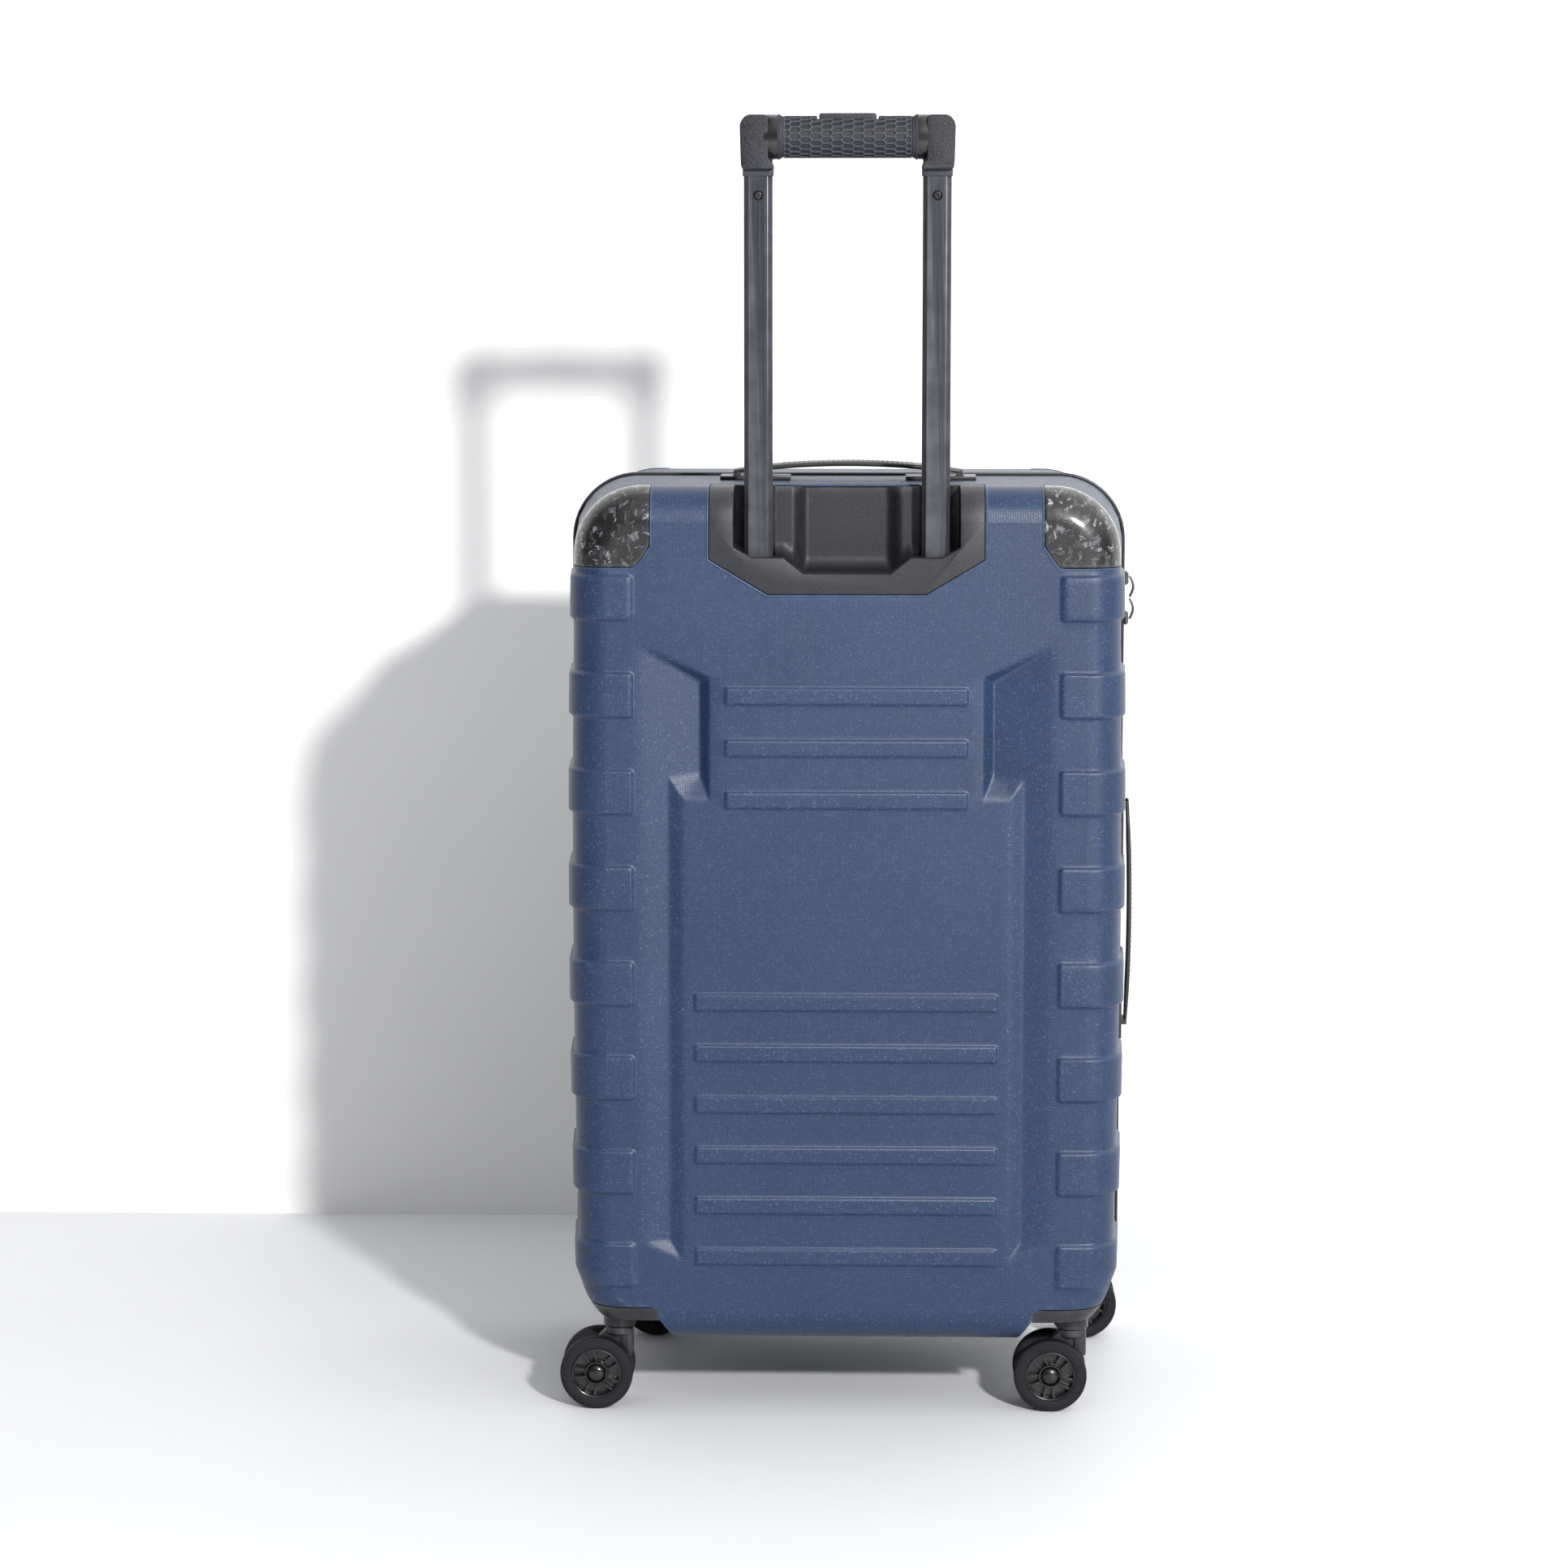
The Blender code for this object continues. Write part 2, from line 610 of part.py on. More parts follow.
def makeLinings(fabric, mesh):
    fabricWall = 0.0020
    for name, side in (("back", -1), ("front", 1)):
        item = liningTub(side, 0.0115, 0.1375, 0.0008)
        hollow = liningTub(side, 0.0115 + fabricWall, 0.1375 - fabricWall, -0.01)
        cut(hollow, *wheelWells(side, fabricWall))
        tunnels = []
        if side < 0:
            tunnels = [((0.0995, -0.1185), (0.0, 0.662)), ((0.1130, trayBackY + 0.0060), (0.655, 0.80))]
        for (half, y), (z0, z1) in tunnels:
            cut(hollow, box(-half - fabricWall, half + fabricWall, -0.20, y + fabricWall, z0 - fabricWall, z1 + fabricWall))
        cut(item, hollow)
        for (half, y), (z0, z1) in tunnels:
            cut(item, box(-half, half, -0.20, y, z0, z1))
        cut(item, *wheelWells(side, 0.0))
        finish(item, f"lining_{name}", fabric, (hingeX if side > 0 else 0.0, 0.0, 0.0))
    inset = 0.0115 + fabricWall + 0.0010
    rings = [[(x, y, z) for x, z in outline(0.0, inset)] for y in (0.0020, 0.0045)]
    finish(loft(rings), "divider_panel", mesh, (hingeX, 0.0, 0.0))


def casterHousing(side, hand):
    body = common(bodySolid(side, 0.0002, near=0.05), shrunkPocket(side, hand))
    centre = (hand * casterX, side * casterY, 0.0)
    join(body, cylinder(collarRadius, "Z", centre, collarBottomZ, housingBottomZ + 0.004, 20))
    return cut(body, cylinder(stemRadius + 0.0008, "Z", centre, 0.05, housingBottomZ + 0.0080, 16))


def shrunkPocket(side, hand):
    x0 = pocketX + gap
    z1 = housingTopZ - gap
    points = [
        (x0 + 0.009, z1), (x0 + 0.0026, z1 - 0.0026), (x0, z1 - 0.009),
        (x0, housingBottomZ), (0.26, housingBottomZ), (0.26, z1),
    ]
    depths = sorted((side * (pocketY + gap), side * 0.20))
    return prism([(hand * x, z) for x, z in points], "Y", *depths)


def casterFork(side, hand):
    # The fork's web runs between the twin wheels from the stem down to the axle.
    trail = -casterTrail if side < 0 else casterTrail
    lean = 1 if trail > 0 else -1
    x = hand * casterX
    y = side * casterY
    top = collarBottomZ - gap
    web = [(-0.0112, top - 0.004), (0.0112, top - 0.004)]
    web += [(0.0112, 0.0440), (0.0090, 0.0370)]
    for i in range(7):
        angle = math.radians(-60 - 30 * i)
        web.append((-casterTrail + 0.0080 * math.cos(angle), wheelZ + 0.0080 * math.sin(angle)))
    web.append((-0.0235, 0.0480))
    web.append((-0.0112, 0.0560))
    points = [(x - lean * u, z) for u, z in web]
    item = prism(points, "Y", y - 0.0065, y + 0.0065)
    join(item, cylinder(0.0116, "Z", (x, y, 0.0), top - 0.0060, top, 12))
    join(item, cylinder(stemRadius, "Z", (x, y, 0.0), top - 0.002, housingBottomZ + 0.0070, 12))
    axle = cylinder(0.0026, "Y", (x + trail, y, wheelZ), -twinSpacing / 2 - 0.0015, twinSpacing / 2 + 0.0015, 8)
    return join(item, axle), (x, y, wheelZ), trail


def makeCasters(plastic, hubPlastic, rubber):
    hubProfile = [(0.0, -0.0062), (0.0068, -0.0056), (0.0082, -0.0050), (0.0088, -0.0020), (0.0182, -0.0020),
                  (0.0188, -0.0058), (0.0204, -0.0058), (0.0204, 0.0058), (0.0032, 0.0058), (0.0032, -0.0022),
                  (0.0, -0.0022)]
    facets = 20
    reach = wheelRadius / math.cos(math.pi / facets)
    tyreProfile = [(0.0208, -0.0062), (0.0268, -0.0066), (reach, -0.0034),
                   (reach, 0.0034), (0.0268, 0.0066), (0.0208, 0.0062)]
    for sideName, side in (("back", -1), ("front", 1)):
        for handName, hand in (("left", -1), ("right", 1)):
            label = f"{sideName}_{handName}"
            parent = (hingeX, 0.0, 0.0) if side > 0 else (0.0, 0.0, 0.0)
            finish(casterHousing(side, hand), f"caster_housing_{label}", plastic, parent)
            fork, centre, trail = casterFork(side, hand)
            finish(fork, f"caster_fork_{label}", plastic, centre)
            for twin, way in (("outer", side), ("inner", -side)):
                axis = (centre[0] + trail, centre[1] + way * twinSpacing / 2, wheelZ)
                hub = turned([(r, -way * along) for r, along in hubProfile], "Y", axis, 16)
                finish(hub, f"hub_{label}_{twin}", hubPlastic, axis)
                tyre = turned([(r, way * along) for r, along in tyreProfile], "Y", axis, facets, 0.5)
                finish(tyre, f"tyre_{label}_{twin}", rubber, axis)


clearScene()
shellPlastic = material("navy polycarbonate", (0.045, 0.075, 0.125), 0.42)
carbonFlake = material("forged carbon", (0.035, 0.037, 0.040), 0.18)
blackPlastic = material("black nylon", (0.022, 0.023, 0.026), 0.50)
tubeAlloy = material("anodised alloy", (0.085, 0.088, 0.100), 0.38, 0.9)
darkAlloy = material("raw dark alloy", (0.120, 0.120, 0.125), 0.45, 0.9)
gripRubber = material("grip rubber", (0.055, 0.058, 0.066), 0.75)
strapRubber = material("strap rubber", (0.018, 0.018, 0.020), 0.55)
steel = material("black steel", (0.060, 0.060, 0.065), 0.35, 0.8)
zipTape = material("zip tape", (0.012, 0.012, 0.014), 0.70)
tyreRubber = material("tyre rubber", (0.030, 0.031, 0.034), 0.80)
hubPlastic = material("hub plastic", (0.012, 0.012, 0.013), 0.30)
liningFabric = material("lining fabric", (0.045, 0.047, 0.055), 0.90)
panelMesh = material("panel fabric", (0.030, 0.031, 0.036), 0.90)

makeShells(shellPlastic)
makeGuards(carbonFlake)
makeTray(blackPlastic)
makeTrolley(tubeAlloy, darkAlloy, blackPlastic, gripRubber, steel)
makeCarryHandles(blackPlastic, strapRubber)
makeZip(zipTape, steel)
makeLock(blackPlastic, steel)
makeLinings(liningFabric, panelMesh)
makeCasters(blackPlastic, hubPlastic, tyreRubber)
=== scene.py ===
# Hard shell suitcase on wheels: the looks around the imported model.
# Metres, +Z up. The back half (trolley side) faces -Y, the lid faces +Y, and the zip lies at y = 0.
import json
import math

import bmesh
import bpy
import numpy as np
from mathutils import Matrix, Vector

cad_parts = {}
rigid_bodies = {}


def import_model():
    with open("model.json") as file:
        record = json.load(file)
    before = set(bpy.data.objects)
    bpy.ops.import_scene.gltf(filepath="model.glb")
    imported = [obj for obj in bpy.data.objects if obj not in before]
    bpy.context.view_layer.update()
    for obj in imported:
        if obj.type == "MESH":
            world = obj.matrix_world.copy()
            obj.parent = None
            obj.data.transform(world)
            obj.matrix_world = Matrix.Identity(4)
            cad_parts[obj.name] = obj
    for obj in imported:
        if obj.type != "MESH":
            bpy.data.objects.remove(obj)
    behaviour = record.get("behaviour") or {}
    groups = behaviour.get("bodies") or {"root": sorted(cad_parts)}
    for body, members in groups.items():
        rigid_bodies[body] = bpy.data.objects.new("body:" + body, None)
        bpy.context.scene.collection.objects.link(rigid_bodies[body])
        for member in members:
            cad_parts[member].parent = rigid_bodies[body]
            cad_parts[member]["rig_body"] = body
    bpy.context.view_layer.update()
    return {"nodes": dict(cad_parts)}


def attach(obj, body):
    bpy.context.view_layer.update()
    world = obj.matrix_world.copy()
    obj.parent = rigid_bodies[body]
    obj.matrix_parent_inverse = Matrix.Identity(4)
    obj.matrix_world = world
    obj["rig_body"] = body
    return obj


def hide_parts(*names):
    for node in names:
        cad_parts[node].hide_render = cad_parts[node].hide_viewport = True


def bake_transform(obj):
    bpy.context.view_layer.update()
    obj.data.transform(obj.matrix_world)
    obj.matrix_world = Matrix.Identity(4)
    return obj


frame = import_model()
mergeDistance = 2e-6                                      # points closer than this become one
materials = {}
print("frame loaded:", len(frame["nodes"]), "nodes")


# Mesh helpers: every shape is a pair of arrays, its points and its faces.

def ringFaces(rows, count, closed=False, caps=(True, True), roundAbout=True):
    # Quads between neighbouring rings of a grid, and a flat face over each open end.
    index = np.arange(rows * count).reshape(rows, count)
    lower, upper = (index, np.roll(index, -1, 0)) if closed else (index[:-1], index[1:])
    if roundAbout:
        quads = np.stack([lower, np.roll(lower, -1, 1), np.roll(upper, -1, 1), upper], -1)
    else:
        quads = np.stack([lower[:, :-1], lower[:, 1:], upper[:, 1:], upper[:, :-1]], -1)
    faces = quads.reshape(-1, 4).tolist()
    if not closed and roundAbout:
        if caps[0]:
            faces.append(index[0, ::-1].tolist())
        if caps[1]:
            faces.append(index[-1].tolist())
    return faces


def rings(rows, closed=False, caps=(True, True)):
    # rows is (ring, point on the ring, xyz).
    return rows.reshape(-1, 3), ringFaces(rows.shape[0], rows.shape[1], closed, caps)


def sheetOf(rows):
    # An open grid of points.
    return rows.reshape(-1, 3), ringFaces(rows.shape[0], rows.shape[1], roundAbout=False)


def merged(parts):
    # Several shapes as one pair of arrays.
    points = []
    faces = []
    start = 0
    for somePoints, someFaces in parts:
        points.append(somePoints)
        faces += [[i + start for i in face] for face in someFaces]
        start += len(somePoints)
    return np.concatenate(points), faces


def onAxis(a, b, along, axis):
    # Two coordinates of an outline and one along the axis, put on world axes.
    order = {"X": (along, a, b), "Y": (a, along, b), "Z": (a, b, along)}[axis]
    return np.stack(np.broadcast_arrays(*order), -1)


def softCorners(corners, radius, steps=5):
    # Each corner of a closed outline becomes an arc (a quadratic curve between two points beside it).
    here = np.array(corners, float)
    back = np.roll(here, 1, 0) - here
    ahead = np.roll(here, -1, 0) - here
    backLength = np.linalg.norm(back, axis=1, keepdims=True)
    aheadLength = np.linalg.norm(ahead, axis=1, keepdims=True)
    wanted = np.broadcast_to(np.reshape(radius, (-1, 1)), backLength.shape)
    reach = np.minimum(wanted, 0.48 * np.minimum(backLength, aheadLength))
    start = here + back / backLength * reach
    end = here + ahead / aheadLength * reach
    t = np.linspace(0, 1, steps + 1)[None, :, None]
    arc = (1 - t) ** 2 * start[:, None] + 2 * t * (1 - t) * here[:, None] + t ** 2 * end[:, None]
    return arc.reshape(-1, 2)


def inward(outline, amount):
    # Moves each point of a closed outline into it by amount, along the mean of its two edge normals.
    edge = np.roll(outline, -1, 0) - outline
    length = np.maximum(np.linalg.norm(edge, axis=1, keepdims=True), 1e-9)
    normal = np.stack([edge[:, 1], -edge[:, 0]], -1) / length
    area = np.sum(outline[:, 0] * np.roll(outline[:, 1], -1) - np.roll(outline[:, 0], -1) * outline[:, 1])
    mean = normal + np.roll(normal, 1, 0)
    size = np.maximum(np.linalg.norm(mean, axis=1, keepdims=True), 0.7)
    return outline - np.sign(area) * mean / size * (2 / size) * amount


def slab(outline, axis, start, end, edge=0.0006, steps=3, taper=0.0):
    # An outline pushed along an axis, with the rims of both ends rounded by quarter circles.
    outline = np.array(outline, float)
    angle = np.linspace(0, math.pi / 2, steps + 1)
    inset = edge * (1 - np.sin(angle))
    rise = edge * (1 - np.cos(angle))
    levels = np.concatenate([start + rise, end - rise[::-1]])
    insets = np.concatenate([inset, inset[::-1] + taper])
    rows = [onAxis(*inward(outline, amount).T, level, axis) for level, amount in zip(levels, insets)]
    return rings(np.array(rows))


def lathe(profile, axis, centre, steps=48, caps=(True, True)):
    # A profile of (radius, along) turned round an axis: ring k is a circle of its radius.
    profile = np.array(profile, float)
    angle = np.linspace(0, 2 * math.pi, steps, endpoint=False)
    radius = profile[:, 0:1]
    along = np.repeat(profile[:, 1:2], steps, 1)
    circles = onAxis(radius * np.cos(angle), radius * np.sin(angle), along, axis)
    return rings(circles + np.array(centre), caps=caps)


def sweep(path, profile, up, closed=False):
    # A profile of (sideways, up) carried along a path; sideways is the path's direction crossed with up.
    path = np.array(path, float)
    direction = np.roll(path, -1, 0) - np.roll(path, 1, 0) if closed else np.gradient(path, axis=0)
    direction /= np.maximum(np.linalg.norm(direction, axis=1, keepdims=True), 1e-12)
    sideways = np.cross(direction, np.broadcast_to(up, path.shape))
    sideways /= np.maximum(np.linalg.norm(sideways, axis=1, keepdims=True), 1e-12)
    rise = np.cross(sideways, direction)
    profile = np.array(profile, float)
    rows = path[:, None] + profile[None, :, 0:1] * sideways[:, None] + profile[None, :, 1:2] * rise[:, None]
    return rings(rows, closed)


def oval(halfWide, halfTall, steps=10, power=1.0):
    # Points of an ellipse; a power under 1 squares it up.
    angle = np.linspace(0, 2 * math.pi, steps, endpoint=False)
    c, s = np.cos(angle), np.sin(angle)
    x, y = halfWide * np.sign(c) * np.abs(c) ** power, halfTall * np.sign(s) * np.abs(s) ** power
    return np.stack([x, y], -1)


def spaced(path, step, closed=False):
    # The same line with points an even step apart.
    path = np.array(path, float)
    if closed:
        path = np.concatenate([path, path[:1]])
    along = np.concatenate([[0], np.cumsum(np.linalg.norm(np.diff(path, axis=0), axis=1))])
    count = max(2, int(round(along[-1] / step)) + 1)
    at = np.linspace(0, along[-1], count)
    line = np.stack([np.interp(at, along, path[:, k]) for k in range(path.shape[1])], 1)
    return line[:-1] if closed else line


def placed(name, mesh):
    # An object at the origin that carries a mesh.
    item = bpy.data.objects.new(name, mesh)
    bpy.context.scene.collection.objects.link(item)
    return item


def smoothed(mesh, sharp):
    mesh.shade_smooth()
    mesh.set_sharp_from_angle(angle=math.radians(sharp))


def meshFrom(name, points, faces, sharp=40, marks=None):
    # A closed mesh with doubles merged and faces outwards; marks are the faces' material numbers.
    mesh = bpy.data.meshes.new(name)
    mesh.from_pydata(np.asarray(points, float).tolist(), [], faces)
    if marks is not None:
        mesh.polygons.foreach_set("material_index", marks.astype(np.int32))
    work = bmesh.new()
    work.from_mesh(mesh)
    bmesh.ops.remove_doubles(work, verts=work.verts, dist=mergeDistance)
    bmesh.ops.dissolve_degenerate(work, dist=1e-7, edges=work.edges)
    bmesh.ops.recalc_face_normals(work, faces=work.faces)
    work.to_mesh(mesh)
    work.free()
    smoothed(mesh, sharp)
    return mesh


def addPiece(name, parts, body, stands=(), sharp=40):
    # parts is a list of (shape, material name); the object sits at the origin and rides on its body.
    names = list(dict.fromkeys(look for shape, look in parts))
    groups = [merged([shape for shape, look in parts if look == wanted]) for wanted in names]
    points, faces = merged(groups)
    marks = np.repeat(np.arange(len(groups)), [len(group[1]) for group in groups])
    item = placed(name, meshFrom(name, points, faces, sharp, marks))
    for wanted in names:
        item.data.materials.append(materials[wanted])
    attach(item, body)
    if stands:
        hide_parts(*stands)
    return item


def softened(node, look, width, angle=34, segments=3):
    # A merged copy of a CAD node with its edges rounded.
    source = frame["nodes"][node]
    mesh = source.data.copy()
    work = bmesh.new()
    work.from_mesh(mesh)
    bmesh.ops.remove_doubles(work, verts=work.verts, dist=mergeDistance)
    bmesh.ops.dissolve_limit(work, angle_limit=math.radians(1.5), verts=work.verts, edges=work.edges)
    work.to_mesh(mesh)
    work.free()
    smoothed(mesh, angle)
    mesh.materials.clear()
    mesh.materials.append(materials[look])
    item = placed(node + "_finished", mesh)
    rounding = item.modifiers.new("rounding", "BEVEL")
    rounding.width = width
    rounding.segments = segments
    rounding.limit_method = "ANGLE"
    rounding.angle_limit = math.radians(angle)
    rounding.harden_normals = False
    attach(item, source["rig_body"])
    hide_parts(node)
    return item


def combined(item, shape, operation):
    # Cuts a closed shape out of a piece (DIFFERENCE), or keeps what they share (INTERSECT).
    tool = placed("tool", meshFrom("tool", *shape))
    step = item.modifiers.new("cut", "BOOLEAN")
    step.operation = operation
    step.solver = "EXACT"
    step.object = tool
    mesh = bpy.data.meshes.new_from_object(item.evaluated_get(bpy.context.evaluated_depsgraph_get()))
    item.modifiers.clear()
    item.data = mesh
    bpy.data.objects.remove(tool)
    return item


def carve(item, shapes):
    # Cuts closed shapes that don't touch each other out of a piece.
    return combined(item, merged(shapes), "DIFFERENCE")


def joined(mesh, others):
    # Adds the faces of other meshes to a mesh.
    work = bmesh.new()
    for part in [mesh] + others:
        work.from_mesh(part)
    work.to_mesh(mesh)
    work.free()


def prism(points, axis, start, end):
    ring = np.array(points, float)
    return rings(np.array([onAxis(*ring.T, level, axis) for level in (start, end)]))


def block(x0, x1, y0, y1, z0, z1):
    return prism([(x0, y0), (x1, y0), (x1, y1), (x0, y1)], "Z", z0, z1)


# Finishes.

def tone(red, green, blue):
    # A linear colour from everyday values of 0 to 255.
    c = np.array([red, green, blue]) / 255
    return tuple(float(x) for x in np.where(c <= 0.04045, c / 12.92, ((c + 0.055) / 1.055) ** 2.4)) + (1.0,)


def put(tree, kind, values=None, **settings):
    # Adds a shader node, sets its properties, and fills its inputs with numbers or links.
    item = tree.nodes.new(kind)
    for key, value in settings.items():
        setattr(item, key, value)
    for key, value in (values or {}).items():
        if isinstance(value, bpy.types.NodeSocket):
            tree.links.new(value, item.inputs[key])
        else:
            item.inputs[key].default_value = value
    return item


def maths(tree, operation, a, b=0.0, clamp=False):
    return put(tree, "ShaderNodeMath", {0: a, 1: b}, operation=operation, use_clamp=clamp).outputs[0]


def ranged(tree, value, low, high, to0=0.0, to1=1.0, smooth=True):
    kind = "SMOOTHSTEP" if smooth else "LINEAR"
    values = {"Value": value, "From Min": low, "From Max": high, "To Min": to0, "To Max": to1}
    return put(tree, "ShaderNodeMapRange", values, interpolation_type=kind).outputs["Result"]


def mixed(tree, factor, a, b, blend="MIX"):
    item = put(tree, "ShaderNodeMix", data_type="RGBA", blend_type=blend, clamp_factor=True)
    for socket, value in ((item.inputs[0], factor), (item.inputs[6], a), (item.inputs[7], b)):
        if isinstance(value, bpy.types.NodeSocket):
            tree.links.new(value, socket)
        else:
            socket.default_value = value
    return item.outputs[2]


def newGroup(name, inputs, outputs):
    tree = bpy.data.node_groups.new(name, "ShaderNodeTree")
    for label, kind, value in inputs:
        socket = tree.interface.new_socket(label, in_out="INPUT", socket_type="NodeSocket" + kind)
        if value is not None:
            socket.default_value = value
    for label, kind in outputs:
        tree.interface.new_socket(label, in_out="OUTPUT", socket_type="NodeSocket" + kind)
    return tree, tree.nodes.new("NodeGroupInput").outputs, tree.nodes.new("NodeGroupOutput").inputs


def makeWeaveGroup():
    # Two families of diagonal ridges crossing each other: height = sin(u + v) sin(u - v) at the given pitch.
    tree, given, out = newGroup("woven grain", [("Vector", "Vector", None), ("Pitch", "Float", 0.0009)],
                                [("Height", "Float"), ("Thread", "Float")])
    split = put(tree, "ShaderNodeSeparateXYZ", {0: given["Vector"]}).outputs
    turns = maths(tree, "DIVIDE", math.pi, given["Pitch"])
    first = maths(tree, "SINE", maths(tree, "MULTIPLY", maths(tree, "ADD", split[0], split[1]), turns))
    second = maths(tree, "SINE", maths(tree, "MULTIPLY", maths(tree, "SUBTRACT", split[0], split[1]), turns))
    height = maths(tree, "MULTIPLY", first, second)
    tree.links.new(height, out["Height"])
    tree.links.new(maths(tree, "MULTIPLY_ADD", height, 0.5), out["Thread"])
    tree.nodes[-1].inputs[2].default_value = 0.5
    return tree


def makeGrainGroup():
    # Fine moulded grain: small noise for height, and a slow noise for patchiness.
    tree, given, out = newGroup("moulded grain", [("Vector", "Vector", None), ("Scale", "Float", 900.0)],
                                [("Height", "Float"), ("Patch", "Float")])
    fine = put(tree, "ShaderNodeTexNoise",
               {"Vector": given["Vector"], "Scale": given["Scale"], "Detail": 2.0})
    broad = put(tree, "ShaderNodeTexNoise", {"Vector": given["Vector"], "Scale": 11.0, "Detail": 3.0})
    tree.links.new(ranged(tree, fine.outputs[0], 0.3, 0.7), out["Height"])
    tree.links.new(ranged(tree, broad.outputs[0], 0.3, 0.7), out["Patch"])
    return tree


def makeWearAndHighlightGroup():
    # Edge is 1 where the surface bends outwards sharply, broken up by noise: it lightens edges as rubbed wear
    # and as a painted highlight. Dust is 1 in its hollows.
    tree, given, out = newGroup("edge wear and highlight", [("Vector", "Vector", None), ("Sharpness", "Float", 1.0)],
                                [("Edge", "Float"), ("Dust", "Float")])
    bend = put(tree, "ShaderNodeNewGeometry").outputs["Pointiness"]
    noise = put(tree, "ShaderNodeTexNoise",
                {"Vector": given["Vector"], "Scale": 70.0, "Detail": 4.0}).outputs[0]
    edge = ranged(tree, bend, 0.512, 0.575)
    broken = maths(tree, "MULTIPLY", edge, ranged(tree, noise, 0.25, 0.75, 0.45, 1.0))
    tree.links.new(maths(tree, "MULTIPLY", broken, given["Sharpness"], True), out["Edge"])
    tree.links.new(ranged(tree, bend, 0.488, 0.43), out["Dust"])
    return tree


def makeFlakeGroup():
    # Pressed chips of chopped fibre: warped cells, each with its own brightness and its own fibre direction.
    tree, given, out = newGroup("forged chips", [("Vector", "Vector", None), ("Size", "Float", 0.009)],
                                [("Tone", "Float"), ("Height", "Float")])
    warp = put(tree, "ShaderNodeTexNoise",
               {"Vector": given["Vector"], "Scale": 120.0, "Detail": 3.0}).outputs["Color"]
    shift = put(tree, "ShaderNodeVectorMath", {0: warp, 1: (0.5, 0.5, 0.5)}, operation="SUBTRACT").outputs[0]
    layers = []
    for stretch, offset, bend in (((1.0, 1.0, 2.1), 0.0, 0.013), ((2.3, 1.2, 1.0), 0.37, 0.009)):
        moved = put(tree, "ShaderNodeVectorMath", {0: shift, 1: (bend,) * 3, 2: given["Vector"]},
                    operation="MULTIPLY_ADD")
        laid = put(tree, "ShaderNodeMapping", {
            0: moved.outputs[0], "Location": (offset, offset, 0), "Rotation": (0.5, 0.7, 0.4 + offset),
            "Scale": stretch})
        density = maths(tree, "DIVIDE", 1.0, given["Size"])
        cells = put(tree, "ShaderNodeTexVoronoi", {"Vector": laid.outputs[0], "Scale": density}, feature="F1")
        rgb = put(tree, "ShaderNodeSeparateColor", {0: cells.outputs["Color"]}).outputs
        turn = maths(tree, "MULTIPLY", rgb[0], 6.28)
        spun = put(tree, "ShaderNodeVectorRotate", {"Vector": given["Vector"], "Angle": turn},
                   rotation_type="AXIS_ANGLE")
        spun.inputs["Axis"].default_value = (0.3, 1.0, 0.3)
        drawn = put(tree, "ShaderNodeMapping", {0: spun.outputs[0], "Scale": (60.0, 60.0, 1400.0)})
        fibre = put(tree, "ShaderNodeTexNoise",
                    {"Vector": drawn.outputs[0], "Scale": 1.0, "Detail": 2.0}).outputs[0]
        bright = maths(tree, "MULTIPLY", maths(tree, "POWER", rgb[1], 2.6),
                       ranged(tree, fibre, 0.35, 0.75, 0.25, 1.0))
        layers.append((bright, rgb[2]))
    upper = put(tree, "ShaderNodeMath", {0: layers[1][1], 1: 0.55}, operation="GREATER_THAN").outputs[0]
    value = put(tree, "ShaderNodeMix", {0: upper, 2: layers[0][0], 3: layers[1][0]}, data_type="FLOAT")
    tree.links.new(value.outputs[0], out["Tone"])
    tree.links.new(layers[0][1], out["Height"])
    return tree


def makeThreadGroup():
    # Plain woven cloth: warp and weft ridges that take turns to lie on top.
    tree, given, out = newGroup("cloth threads", [("Vector", "Vector", None), ("Pitch", "Float", 0.001)],
                                [("Height", "Float")])
    split = put(tree, "ShaderNodeSeparateXYZ", {0: given["Vector"]}).outputs
    turns = maths(tree, "DIVIDE", math.pi, given["Pitch"])
    u, v = (maths(tree, "MULTIPLY", split[k], turns) for k in (0, 1))
    warp, weft = (maths(tree, "ABSOLUTE", maths(tree, "SINE", angle)) for angle in (u, v))
    turn = maths(tree, "MULTIPLY", maths(tree, "SINE", u), maths(tree, "SINE", v))
    over = maths(tree, "GREATER_THAN", turn, 0.0)
    height = put(tree, "ShaderNodeMix", {0: over, 2: warp, 3: weft}, data_type="FLOAT").outputs[0]
    tree.links.new(height, out["Height"])
    return tree


groups = {
    "weave": makeWeaveGroup(), "grain": makeGrainGroup(), "wearAndHighlight": makeWearAndHighlightGroup(),
    "flakes": makeFlakeGroup(), "threads": makeThreadGroup(),
}


def newLook(name, roughness, metallic=0.0, **fixed):
    # A material with its fixed values set on the shader's own sockets.
    look = bpy.data.materials.new(name)
    look.use_nodes = True
    tree = look.node_tree
    shader = tree.nodes["Principled BSDF"]
    shader.inputs["Roughness"].default_value = roughness
    shader.inputs["Metallic"].default_value = metallic
    for label, value in fixed.items():
        shader.inputs[label].default_value = value
    materials[name] = look
    coords = put(tree, "ShaderNodeTexCoord").outputs["Object"]
    return tree, shader, coords


def useGroup(tree, kind, values):
    return put(tree, "ShaderNodeGroup", values, node_tree=groups[kind]).outputs


def bumped(tree, shader, height, distance, strength=1.0):
    relief = put(tree, "ShaderNodeBump", {"Height": height, "Distance": distance, "Strength": strength})
    tree.links.new(relief.outputs[0], shader.inputs["Normal"])


shellLook = {
    "colour": tone(31, 55, 90), "valleyShade": tone(9, 19, 38), "wornAndHighlight": tone(96, 120, 156),
    "haze": tone(46, 70, 108),
    "pitch": 0.00095, "depth": 0.00005, "roughness": 0.34, "sparkle": 0.0021,
}


